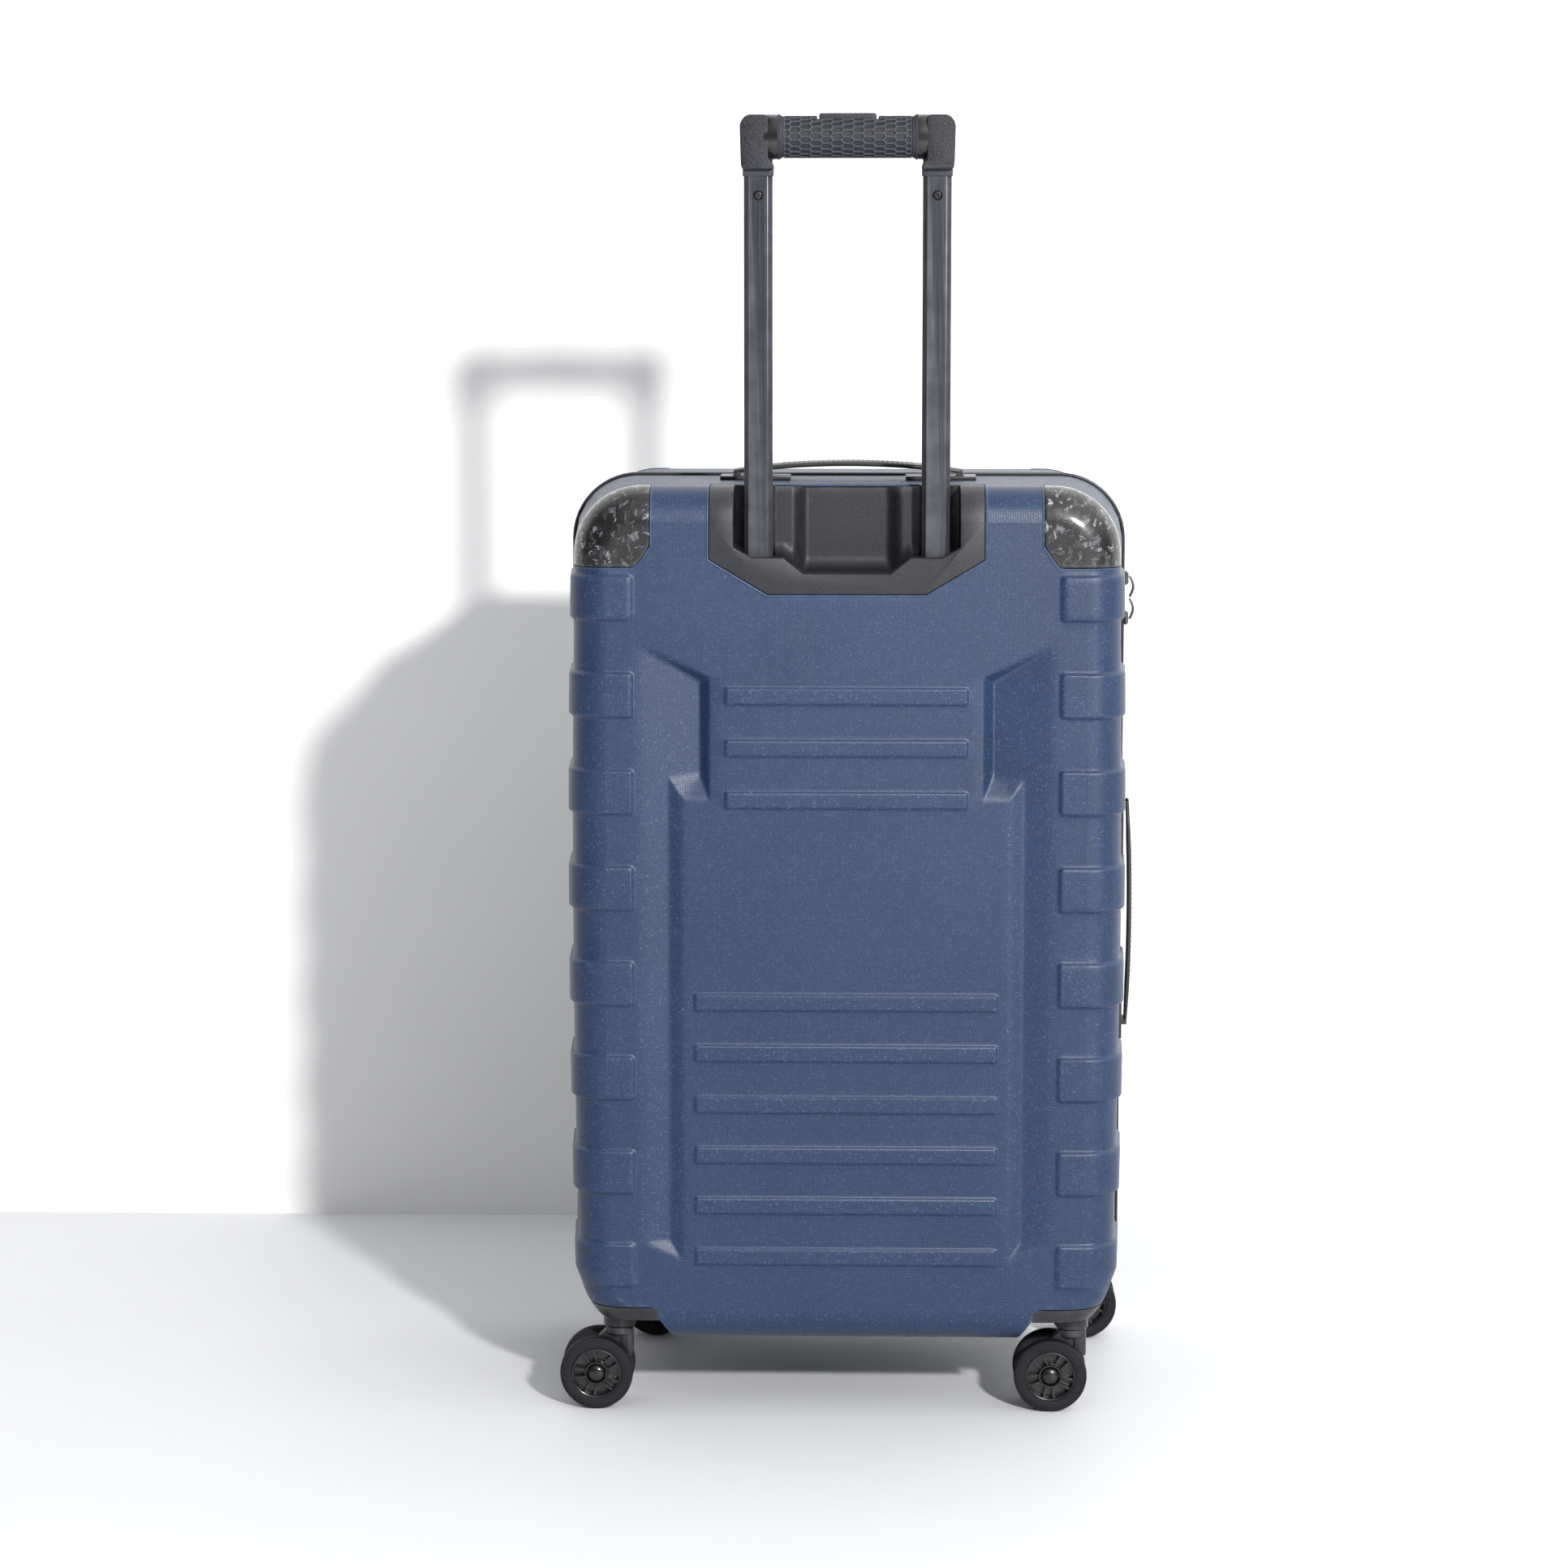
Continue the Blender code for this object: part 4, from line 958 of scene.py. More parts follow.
trayCut = prism(trayOutline(case["gap"]), "Y", -0.20, case["gap"] - openings["flangeY"])
backShell = addShell("back_shell_moulding", -1, "back_case",
                     [trayCut] + handleSlots(topPlace) + handleSlots(sidePlace))
carve(backShell, [block(-0.0929, 0.0929, -0.1495, openings["trayBackY"] + 0.0035, 0.70, 0.80)])
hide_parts("back_shell")
lockY, lockZ = openings["lockY"], openings["lockZ"]
lockCut = block(0.20, 0.24, lockY - 0.0143, lockY + 0.0143, lockZ - 0.0363, lockZ + 0.0363)
frontShell = addShell("front_shell_moulding", 1, "front_case", [lockCut])
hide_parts("front_shell")
print("shells made:", len(backShell.data.polygons), len(frontShell.data.polygons))


# Corner guards and the rolled lips of the shell's cut-outs.

guard = {"edge": 0.0013, "thick": 0.0020, "lip": 0.0010, "lipSink": 0.0003}


def guardPatches(side, hand, inset, lift):
    # A corner of the skin inside the guard's outline, as a grid over the face and rings over the rounded
    # edges. The outline's cut corner comes from squeezing a corner cell: the point (a, b) moves to (a, b) *
    # max / (a + b).
    x0, z0 = openings["guardX"] + inset, openings["guardZ"] + inset
    cutX, cutZ = openings["guardCorner"] - 0.4 * inset, openings["guardCorner"] + 0.0015 - 0.4 * inset
    xs = np.concatenate([np.linspace(x0, x0 + cutX, 9), np.linspace(x0 + cutX, faceHalf, 12)[1:]])
    zs = np.concatenate([np.linspace(z0, z0 + cutZ, 9), np.linspace(z0 + cutZ, faceTop, 11)[1:]])
    gridX, gridZ = np.meshgrid(xs, zs)
    a = np.clip((x0 + cutX - gridX) / cutX, 0, 1)
    b = np.clip((z0 + cutZ - gridZ) / cutZ, 0, 1)
    both = (a > 0) & (b > 0)
    squeeze = np.where(both, np.maximum(a, b) / np.maximum(a + b, 1e-9), 1.0)
    gridX = np.where(both, x0 + cutX - a * squeeze * cutX, gridX)
    gridZ = np.where(both, z0 + cutZ - b * squeeze * cutZ, gridZ)
    face = skin(hand * gridX, gridZ, np.zeros(gridX.shape), side, np.full(gridX.shape, lift))
    borderX = np.concatenate([xs, np.full(len(zs) - 1, faceHalf)])
    borderZ = np.concatenate([np.full(len(xs), faceTop), zs[-2::-1]])
    runs = np.concatenate([np.linspace(0, bendRun, 12),
                           np.linspace(bendRun, runTo(openings["guardY"] + inset), 3)[1:]])
    wallX, wallRun = np.meshgrid(borderX, runs)
    wallZ = np.broadcast_to(borderZ, wallX.shape)
    walls = skin(hand * wallX, wallZ, wallRun, side, np.full(wallX.shape, lift))
    return face, walls


def guardLoop(face, walls):
    # The outline of both patches as one closed line, for points or normals.
    return [np.concatenate([f[0, ::-1], f[1:, 0], w[1:, 0], w[-1, 1:], w[-2:0:-1, -1]]) for f,
            w in zip(face, walls)]


def outwardOf(line, normal):
    direction = np.roll(line, -1, 0) - np.roll(line, 1, 0)
    direction /= np.linalg.norm(direction, axis=1, keepdims=True)
    out = np.cross(direction, normal)
    if np.sum(out * (line - line.mean(0))) < 0:
        out = -out
    return out / np.linalg.norm(out, axis=1, keepdims=True)


def guardShape(side, hand):
    edge, thick = guard["edge"], guard["thick"]
    face, walls = guardPatches(side, hand, edge, openings["guardRise"])
    line, normal = guardLoop(face, walls)
    out = outwardOf(line, normal)
    turns = np.linspace(0, math.pi / 2, 6)
    rows = [line + out * edge * math.sin(t) - normal * edge * (1 - math.cos(t)) for t in turns]
    rows += [line + out * edge - normal * thick, line - normal * thick]
    inner = [(p - n * thick) for p, n in (face, walls)]
    return merged([sheetOf(face[0]), sheetOf(walls[0]), rings(np.array(rows), caps=(False, False)),
                   sheetOf(inner[0]), sheetOf(inner[1])])


def lipShape(line, normal):
    # A small round bead along a cut-out of the shell, half sunk in it.
    return sweep(line - normal * guard["lipSink"], oval(guard["lip"], guard["lip"], 8), normal, closed=True)


def joinInto(item, shapes, sharp=48):
    # Adds closed shapes to a piece's own mesh.
    points, faces = merged(shapes)
    extra = meshFrom("extra", points, faces)
    extra.materials.append(item.data.materials[0])
    co = np.zeros(len(extra.vertices) * 3, np.float32)
    extra.vertices.foreach_get("co", co)
    toUnrolled(extra, co.reshape(-1, 3)[:, [0, 2]])
    joined(item.data, [extra])
    smoothed(item.data, sharp)


def trayLip():
    # Along the tray's cut-out: up both flanks over the top edge, across behind the tubes, and along the
    # lower edge.
    spread = case["gap"] + guard["lip"]
    (x0, z0), (x1, z1) = openings["tray"][:2]
    x0, z0, x1, z1 = x0 + 0.5 * spread, z0 - spread, x1 + spread, z1 - 0.5 * spread
    far = runTo(openings["flangeY"] - spread)
    bend = [(x1, faceTop, run) for run in np.linspace(0, bendRun, 12)]
    flank = [(x1, z1, 0.0)] + bend + [(x1, faceTop, far)]
    back = [(-x, z, run) for x, z, run in flank[::-1]]
    corners = spaced(np.array([(x0, z0, 0.0)] + flank + back + [(-x0, z0, 0.0)]), 0.0022, True)
    return skin(corners[:, 0], corners[:, 1], corners[:, 2], -1)


for shellPiece, side in ((backShell, -1), (frontShell, 1)):
    lips = []
    for hand in (-1, 1):
        lips.append(lipShape(*guardLoop(*guardPatches(side, hand, -case["gap"] - guard["lip"] * 0.9, 0.0))))
    if side < 0:
        lips.append(lipShape(*trayLip()))
    joinInto(shellPiece, lips)
for sideName, side, rides in (("back", -1, "back_case"), ("front", 1, "front_case")):
    for handName, hand in (("left", -1), ("right", 1)):
        label = f"{sideName}_{handName}"
        addPiece("guard_" + label, [(guardShape(side, hand), "forgedCarbon")], rides,
                 ["corner_guard_" + label], 50)
print("guards made")


# Handle tray and trolley.

trolley = {
    "pitch": 0.0704, "y": -0.131, "top": 1.0462, "bottom": 1.0120, "sleeveX": 0.0507, "seat": 0.0092,
    "halfThick": 0.0148, "halfTall": 0.0165, "capHalf": 0.0148,
    "drumMost": 0.0149, "foot": (0.0122, 0.0080), "footZ": (0.9985, 1.0075),
}
honeycomb = {"column": 0.0083, "row": 0.00505, "rib": 0.00045, "sink": 0.0009, "step": 0.00037}

trayPiece = softened("handle_tray", "blackPlastic", 0.0010, 30, 3)
bay = {
    "half": 0.0575, "side": -0.1153, "deep": -0.1053, "from": 0.0312, "to": 0.0442, "round": 0.0115,
    "top": 0.7540,
    "floor": [(0.0, 0.6868), (0.0346, 0.6868), (0.0504, 0.6995), (0.07, 0.6995)],
}


def bayShape():
    # The recess between the tubes: its depth goes smoothly from the side level to the deep middle, and its
    # foot is a quarter circle that comes forward to the floor.
    x = np.linspace(-bay["half"], bay["half"], 93)
    foot = np.interp(np.abs(x), *np.array(bay["floor"]).T)
    level = bay["deep"] + (bay["side"] - bay["deep"]) * smoothStep(np.abs(x), bay["from"], bay["to"])
    r = bay["round"]
    turn = np.linspace(0, math.pi / 2, 11)[:, None]
    curved = np.stack([np.broadcast_to(x, (11, len(x))), level - r + r * np.sin(turn),
                       foot + r - r * np.cos(turn)], -1)
    t = np.linspace(0, 1, 10)[1:, None]
    rise = np.stack([np.broadcast_to(x, (9, len(x))), np.broadcast_to(level, (9, len(x))),
                     foot + r + (bay["top"] - foot - r) * t], -1)
    start = curved[:1] + (0.0, -0.004, -0.0004)
    end = rise[-1:] + (0.0, 0.0022, 0.0)
    surface = np.concatenate([start, curved, rise, end])
    left, right = surface[:, :1] + (-0.0006, 0.0030, 0.0), surface[:, -1:] + (0.0006, 0.0030, 0.0)
    return sheetOf(np.concatenate([left, surface, right], 1))


floorLine = np.array(bay["floor"][1:3] + [(bay["half"], bay["floor"][3][1])]) + (0.0, 0.0003)
cutLine = np.concatenate([floorLine, [(bay["half"], 0.78), (-bay["half"], 0.78)], floorLine[::-1] * (-1, 1)])
carve(trayPiece, [prism(cutLine, "Y", -0.1350, bay["deep"] + 0.0012)])
smoothed(trayPiece.data, 30)
addPiece("tray_bay", [(bayShape(), "blackPlastic")], "back_case", [], 70)
for handName in ("left", "right"):
    softened("outer_tube_" + handName, "innerAlloy", 0.0003, 30, 2)
    softened("inner_tube_" + handName, "tubeAlloy", 0.0005, 30, 2)
    softened("tube_screw_" + handName, "blackSteel", 0.0002, 40, 2)
softened("tube_foot_bracket", "housingPlastic", 0.0012)
softened("release_yoke", "blackSteel", 0.0004)


def sleeveShape():
    # An oval tube along X whose surface sinks inside the cells of a honeycomb. Centres lie in columns, every
    # other column half a row lower. In a metric that makes the cells regular (x shrunk by the square root of
    # row / (2 column)), half the difference of the squared distances to the two nearest centres, over its
    # gradient, is the way to a cell's border.
    step = honeycomb["step"] * 1
    a, b = trolley["halfThick"], trolley["halfTall"]
    girth = math.pi * (3 * (a + b) - math.sqrt((3 * a + b) * (a + 3 * b)))
    rowPitch = girth / round(girth / honeycomb["row"])
    column = honeycomb["column"]
    shrink = rowPitch / (2 * column)
    half = trolley["sleeveX"] - 0.0006
    x, s = np.meshgrid(np.linspace(-half, half, int(2 * half / step)),
                       np.linspace(0, girth, int(girth / step), endpoint=False), indexing="ij")
    centres = []
    for shift in (-1, 0, 1):
        k = np.round(x / column) + shift
        lower = np.mod(k, 2) * 0.5
        j = np.round(s / rowPitch - lower)
        centres += [np.stack([k * column, (j + extra + lower) * rowPitch], -1) for extra in (-1, 0, 1)]
    centres = np.array(centres)
    squared = shrink * (x - centres[..., 0]) ** 2 + (s - centres[..., 1]) ** 2
    order = np.argsort(squared, axis=0)[:2]
    first, second = (np.take_along_axis(centres, order[i][None, ..., None], 0)[0] for i in (0, 1))
    least, next_ = (np.take_along_axis(squared, order[i][None], 0)[0] for i in (0, 1))
    apart = second - first
    border = (next_ - least) / 2 / np.maximum(np.hypot(shrink * apart[..., 0], apart[..., 1]), 1e-6)
    cell = smoothStep(border, honeycomb["rib"], honeycomb["rib"] + 0.0005)
    cell = cell * smoothStep(half - np.abs(x), 0.0004, 0.0010)
    angle = 2 * math.pi * s / girth
    c, q = np.cos(angle), np.sin(angle)
    normal = np.stack([np.zeros_like(c), c / a, q / b], -1)
    normal /= np.linalg.norm(normal, axis=-1, keepdims=True)
    seat = smoothStep(0.0242 - np.abs(x), 0, 0.0007) * smoothStep(0.0068 - np.abs(a * c), 0, 0.0007) * (q > 0)
    sink = honeycomb["sink"] * cell * (1 - seat)
    middle = (trolley["top"] + trolley["bottom"]) / 2
    surface = np.stack([x, trolley["y"] + a * c, middle + b * q - trolley["seat"] * seat],
                       -1) - normal * sink[..., None]
    ends = []
    for at, sign in ((0, -1), (-1, 1)):
        shrunk = surface[at] - normal[at] * 0.0020
        shrunk[:, 0] = sign * (half + 0.0006)
        ends.append(shrunk)
    return rings(np.concatenate([ends[0][None], surface, ends[1][None]])), cell


def oblong(x, y, halfX, halfY, radius, steps):
    # A rectangle with rounded corners round (x, y).
    corners = [(-halfX, -halfY), (halfX, -halfY), (halfX, halfY), (-halfX, halfY)]
    return softCorners(np.array(corners) + (x, y), radius, steps)


def gripCap(hand):
    # End cap of the grip: a block with bevelled shoulders over each tube, a slim collar and a flange ring.
    top, bottom, y = trolley["top"], 1.0040, trolley["y"]
    outline = softCorners([
        (0.0622, top - 0.0008), (0.0655, top), (0.0795, top), (0.0846, top - 0.0062), (0.0838, 1.0085),
        (0.0829, bottom), (0.0579, bottom), (0.0584, 1.0080), (0.0622, 1.0120),
    ], [0.0012, 0.002, 0.0036, 0.0036, 0.006, 0.0014, 0.0012, 0.003, 0.003], 5)
    outline[:, 0] *= hand
    capHalf = trolley["capHalf"]
    shape = slab(outline, "Y", y - capHalf, y + capHalf, 0.0011, 4)
    middle = (trolley["top"] + trolley["bottom"]) / 2
    a, b = trolley["halfThick"], trolley["halfTall"]
    steps = 56

    def drum(profile):
        # (place along X, growth of the oval) pairs.
        rows = []
        for x, grow in profile:
            ring = oval(min(a + grow, trolley["drumMost"]), b + grow, steps, 0.85) + (y, middle)
            rows.append(onAxis(*ring.T, hand * x, "X"))
        return rings(np.array(rows))

    collar = drum([(0.0660, 0.0008), (0.0631, 0.0008), (0.0628, 0.0012), (0.0556, 0.0012), (0.0551, 0.0008),
                   (0.0548, -0.0030)])
    flange = drum([(0.0552, -0.0010), (0.0549, 0.0010), (0.0545, 0.0016), (0.0538, 0.0012), (0.0522, 0.0001),
                   (0.0509, -0.0002), (0.0504, -0.0010)])
    foot = slab(oblong(hand * trolley["pitch"], y, *trolley["foot"], 0.0036, 4), "Z", *trolley["footZ"],
                0.0008, 3)
    return [(shape, "capPlastic"), (collar, "hubPlastic"), (flange, "gripRubber"), (foot, "capPlastic")]


addPiece("grip_caps", gripCap(-1) + gripCap(1), "trolley", ["grip_core"], 36)
sleeve, cell = sleeveShape()
honeycombPiece = addPiece("grip_honeycomb", [(sleeve, "honeycombRubber")], "trolley",
                          ["grip_sleeve"], 60)
# the sunk attribute marks the cells that the finish darkens as painted shade
sunk = honeycombPiece.data.attributes.new("sunk", "FLOAT", "POINT")
ring = cell.shape[1]
depths = np.concatenate([np.zeros(ring), cell.ravel(), np.zeros(ring)]).astype(np.float32)
sunk.data.foreach_set("value", depths[:len(honeycombPiece.data.vertices)])
pushButton = {
    "half": (0.0225, 0.0055), "z": (1.0411, 1.0475), "ridge": (0.0006, 0.0036), "ridgeZ": (1.0470, 1.0478),
    "ridgeX": 0.014, "ridges": 8, "stem": (0.0100, 0.0038), "stemZ": (1.0404, 1.0416),
}

button = slab(oblong(0.0, trolley["y"], *pushButton["half"], 0.0030, 6), "Z", *pushButton["z"], 0.0014, 4)
buttonRidges = [
    slab(oblong(x, trolley["y"], *pushButton["ridge"], 0.0005, 2), "Z", *pushButton["ridgeZ"], 0.0003, 2)
    for x in np.linspace(-pushButton["ridgeX"], pushButton["ridgeX"], pushButton["ridges"])
]
stemX, stemY = pushButton["stem"]
stem = block(-stemX, stemX, trolley["y"] - stemY, trolley["y"] + stemY, *pushButton["stemZ"])
addPiece("release_button",
         [(button, "capPlastic"), (stem, "blackPlastic")] + [(r, "capPlastic") for r in buttonRidges],
         "release_button", ["push_button"])
print("trolley made")


# Carry handles, zip and lock.

strapSizes = {"leg": 0.0908, "top": (0.0085, 0.0150, 0.0042), "side": (0.0078, 0.0103, 0.0040),
              "half": 0.0130}


def strapShape(place, rest, peak, thick):
    # A strap that arches between its legs: its middle line is a parabola, its section a flat rounded bar that
    # thickens in the grip and thins towards the pointed ends.
    t = np.linspace(-1, 1, 61)
    along = t * (strapSizes["leg"] + 0.0022)
    height = rest + (peak - rest) * (1 - t ** 2)
    half = strapSizes["half"] * (1 - 0.22 * smoothStep(np.abs(t), 0.75, 1.0))
    deep = thick / 2 * (1 - 0.25 * smoothStep(np.abs(t), 0.6, 1.0))
    ring = oval(1.0, 1.0, 28, 0.42)
    rows = []
    for a, h, w, d in zip(along, height, half, deep):
        rows.append([place(a, h - thick / 2 + d * v, w * u) for u, v in ring])
    strap = rings(np.array(rows))
    legs = []
    for hand in (-1, 1):
        a0, a1 = sorted((hand * (strapSizes["leg"] - 0.0022), hand * (strapSizes["leg"] + 0.0022)))
        legs.append(placedBlock(place, a0, a1, -0.0085, rest - 0.0015, 0.0104))
    ribs = []
    for a in np.linspace(-0.052, 0.052, 27):
        h = rest + (peak - rest) * (1 - (a / (strapSizes["leg"] + 0.0022)) ** 2)
        ribs.append(rings(np.array([[place(a + 0.0007 * u, h - 0.0001 + 0.00035 * v, s) for u,
                                     v in oval(1, 1, 6)] for s in (-0.0098, 0.0098)])))
    return [(part, "strapRubber") for part in [strap] + legs + ribs]


addPiece("top_carry_strap", strapShape(topPlace, *strapSizes["top"]), "top_carry_handle",
         ["top_handle"], 50)
addPiece("side_carry_strap", strapShape(sidePlace, *strapSizes["side"]), "side_carry_handle",
         ["side_handle"], 50)
softened("top_handle_base", "housingPlastic", 0.0007)
softened("side_handle_base", "housingPlastic", 0.0007)

zipSizes = {"tooth": 0.0023, "tapeEdge": 0.0012, "tapeWide": 0.0138, "middle": 0.00175}
zipXs = np.linspace(-faceHalf, faceHalf, 120)
zipZs = np.linspace(faceBottom, faceTop, 180)
zipBorder = borderOf(zipXs, zipZs)


def zipLine(side, y, lift):
    point, normal = skin(*zipBorder, np.full(len(zipBorder[0]), runTo(0.0)), side)
    line = point + normal * lift
    line[:, 1] = side * y
    normal[:, 1] = 0
    return line, normal / np.linalg.norm(normal, axis=1, keepdims=True)


def zipShape(side):
    # The tape's section carried round the case: a flat tape under the shell's rim and a round piping that
    # stands proud of it; and a row of moulded teeth along the tape's inner edge.
    angle = np.linspace(0, math.pi, 9)
    ridge = [(0.00158 * math.cos(a), 0.0010 + 0.0013 * math.sin(a)) for a in angle]
    edge, wide = zipSizes["tapeEdge"], zipSizes["tapeWide"]
    section = np.array(ridge + [(-edge, 0.0002), (-edge, -wide), (edge, -wide), (edge, 0.0002)])
    line, normal = zipLine(side, zipSizes["middle"], 0.0)
    piping = sweep(line, section, normal, closed=True)
    at, out = zipLine(side, 0.0008, -0.0030)
    both = spaced(np.concatenate([at, out], 1), zipSizes["tooth"], True)
    if side > 0:
        both = (both + np.roll(both, -1, 0)) / 2
    centre, up = both[:, :3], both[:, 3:] / np.linalg.norm(both[:, 3:], axis=1, keepdims=True)
    ahead = np.roll(centre, -1, 0) - np.roll(centre, 1, 0)
    ahead /= np.linalg.norm(ahead, axis=1, keepdims=True)
    corner = np.array([(a, b, c) for a in (-1, 1) for b in (-1, 1) for c in (-1, 1)], float)
    size = np.array([0.00055, 0.00060, 0.0011])
    across = np.array([0.0, side, 0.0])
    teeth = (centre[:, None] + ahead[:, None] * corner[None, :, 0:1] * size[0]
             + across * corner[None, :, 1:2] * size[1] + up[:, None] * corner[None, :, 2:3] * size[2])
    box = np.array([(0, 1, 3, 2), (4, 6, 7, 5), (0, 4, 5, 1), (2, 3, 7, 6), (0, 2, 6, 4), (1, 5, 7, 3)])
    quads = (box[None] + 8 * np.arange(len(teeth))[:, None, None]).reshape(-1, 4).tolist()
    return [(piping, "piping"), ((teeth.reshape(-1, 3), quads), "blackSteel")]


addPiece("zip_piping_back", zipShape(-1), "back_case", ["zip_back"], 50)
addPiece("zip_piping_front", zipShape(1), "front_case", ["zip_front"], 50)


def pullShape(z, turn):
    # A pull tab that bows out from its pivot as a half sine, flat at its end, with a long slot through it.
    t = np.linspace(0, 1, 25)
    pivotX = 0.2330
    x = pivotX + 0.0026 * np.sin(math.pi * t)
    at = z - turn * (0.0155 * t - 0.0005)
    parts = []
    for across in (-1, 1):
        line = np.stack([x, np.full(25, across * 0.0026), at], -1)
        parts.append(sweep(line, oval(0.0009, 0.0010, 10, 0.7), (0.0, 1.0, 0.0)))
    for k in (0, -1):
        bar = np.stack([np.full(9, x[k]), np.linspace(-0.0034, 0.0034, 9), np.full(9, at[k])], -1)
        parts.append(sweep(bar, oval(0.0010, 0.0010, 10), (1.0, 0.0, 0.0)))
    middle = slice(14, 25)
    tab = np.stack([x[middle], np.zeros(11), at[middle]], -1)
    parts.append(sweep(tab, oval(0.0007, 0.0030, 12, 0.5), (0.0, 1.0, 0.0)))
    return [(part, "blackSteel") for part in parts]


for name, z, turn in (("upper", 0.6720, 1), ("lower", 0.6390, -1)):
    addPiece("pull_tab_" + name, pullShape(z, turn), "pull_" + name, ["zip_pull_" + name])
    softened("zip_slider_" + name, "blackSteel", 0.0006)
softened("lock_housing", "blackPlastic", 0.0007)
for k in (1, 2, 3):
    softened(f"lock_dial_{k}", "blackSteel", 0.0003, 40, 2)
softened("lock_latch", "blackSteel", 0.0005)
print("handles, zip and lock made")


# Casters and wheels.

caster = {
    "x": 0.1855, "y": 0.113, "trail": 0.0182, "wheelZ": 0.0298, "spacing": 0.032, "collar": 0.0133,
    "collarBottom": 0.0660,
    "stem": 0.0050, "bore": 0.0064, "legHalf": 0.0086, "webHalf": 0.0062, "eye": 0.0080, "axle": 0.0026,
}
wheel = {
    "steps": 72, "spokes": 5, "phase": {"left": 36.0, "right": 50.0}, "rim": 0.0192, "hubRing": 0.0096,
    "spokeRim": (0.0042, 0.0012), "spokeHub": (0.0030, 0.0006), "spokeHeights": (-0.0015, 0.0047),
    # Sections of (radius, height towards the outside of the wheel).
    "rimRing": [(0.0186, 0.0050), (0.0190, 0.0061), (0.0197, 0.0065), (0.0203, 0.0061), (0.0205, 0.0052),
                (0.0205, -0.0056), (0.0186, -0.0056)],
    "backDisc": [(0.0189, -0.0012), (0.0189, -0.0030), (0.0030, -0.0030), (0.0030, -0.0012)],
    "innerRing": [(0.0080, -0.0020), (0.0080, 0.0052), (0.0084, 0.0060), (0.0092, 0.0060), (0.0097, 0.0052),
                  (0.0097, -0.0020)],
    "cap": [(0.0, 0.0074), (0.0018, 0.0073), (0.0036, 0.0070), (0.0052, 0.0064), (0.0064, 0.0054),
            (0.0070, 0.0042), (0.0072, -0.0020), (0.0, -0.0020)],
    "tyreSteps": 96,
    "tyre": [(0.0203, 0.0050), (0.0206, 0.0062), (0.0212, 0.0066), (0.0268, 0.0067), (0.0273, 0.0065),
             (0.0275, 0.0058), (0.0279, 0.0058), (0.0281, 0.0062), (0.0287, 0.0060), (0.0293, 0.0052),
             (0.0297, 0.0038), (0.0298, 0.0020), (0.0298, -0.0020), (0.0297, -0.0038), (0.0293, -0.0052),
             (0.0285, -0.0062), (0.0268, -0.0066), (0.0208, -0.0062), (0.0203, -0.0050)],
}


def plainHalf(side, lift):
    # One half of the body as a smooth closed solid without relief.
    xs = np.linspace(-faceHalf, faceHalf, 50)
    zs = np.linspace(faceBottom, faceTop, 70)
    faceX, faceZ = np.meshgrid(xs, zs)
    face = skin(faceX, faceZ, np.zeros(faceX.shape), side, np.full(faceX.shape, lift))[0]
    borderX, borderZ = borderOf(xs, zs)
    runs = np.concatenate([np.linspace(0, bendRun, 10), runTo(np.array([0.09, 0.06]))])
    wallX, wallRun = np.meshgrid(borderX, runs)
    walls = skin(wallX, np.broadcast_to(borderZ, wallX.shape), wallRun, side, np.full(wallX.shape, lift))[0]
    return merged([sheetOf(face), rings(walls, caps=(False, True))])


def housingShape(side, hand):
    x0, z1 = openings["pocketX"] + case["gap"], openings["pocketTop"] - 0.0009
    outline = softCorners([(x0, z1), (x0, openings["pocketBottom"]), (0.26, openings["pocketBottom"]),
                           (0.26, z1)],
                          [0.0085, 0.0012, 0.0001, 0.0001], 6)
    depths = sorted((side * (openings["pocketY"] + case["gap"]), side * 0.20))
    return prism(outline * (hand, 1), "Y", *depths)


def addHousing(label, side, hand, rides):
    item = addPiece("caster_mount_" + label, [(plainHalf(side, 0.0002), "housingPlastic")], rides,
                    ["caster_housing_" + label])
    item.parent = None
    combined(item, housingShape(side, hand), "INTERSECT")
    item.data.materials.clear()
    item.data.materials.append(materials["housingPlastic"])
    x, y = hand * caster["x"], side * caster["y"]
    r, low, bore = caster["collar"], caster["collarBottom"], caster["bore"]
    drum = lathe([(bore, low + 0.0004), (r - 0.0008, low), (r, low + 0.0008), (r, 0.0750),
                  (r + 0.0012, 0.0775),
                  (r + 0.0020, 0.0795), (bore, 0.0795), (bore, low + 0.0004)], "Z", (x, y, 0.0), 56,
                 (False, False))
    peg = lathe([(0.0, 0.0), (0.0016, 0.0), (0.0020, 0.0004), (0.0020, 0.0150), (0.0016, 0.0154),
                 (0.0, 0.0154)], "Y",
                (x - hand * 0.0142, y - 0.0077, 0.0772), 20)
    bolts = [lathe([(0.0, 0.0010), (0.0026, 0.0008), (0.0031, 0.0), (0.0, 0.0)], "Z",
                   (x + dx, y + dy, openings["pocketBottom"] - 0.0010), 20)
             for dx, dy in ((-hand * 0.024, -0.020), (-hand * 0.024, 0.020))]
    joined(item.data, [meshFrom("extra", *merged([drum, peg] + bolts))])
    smoothed(item.data, 36)
    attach(item, rides)
    return item


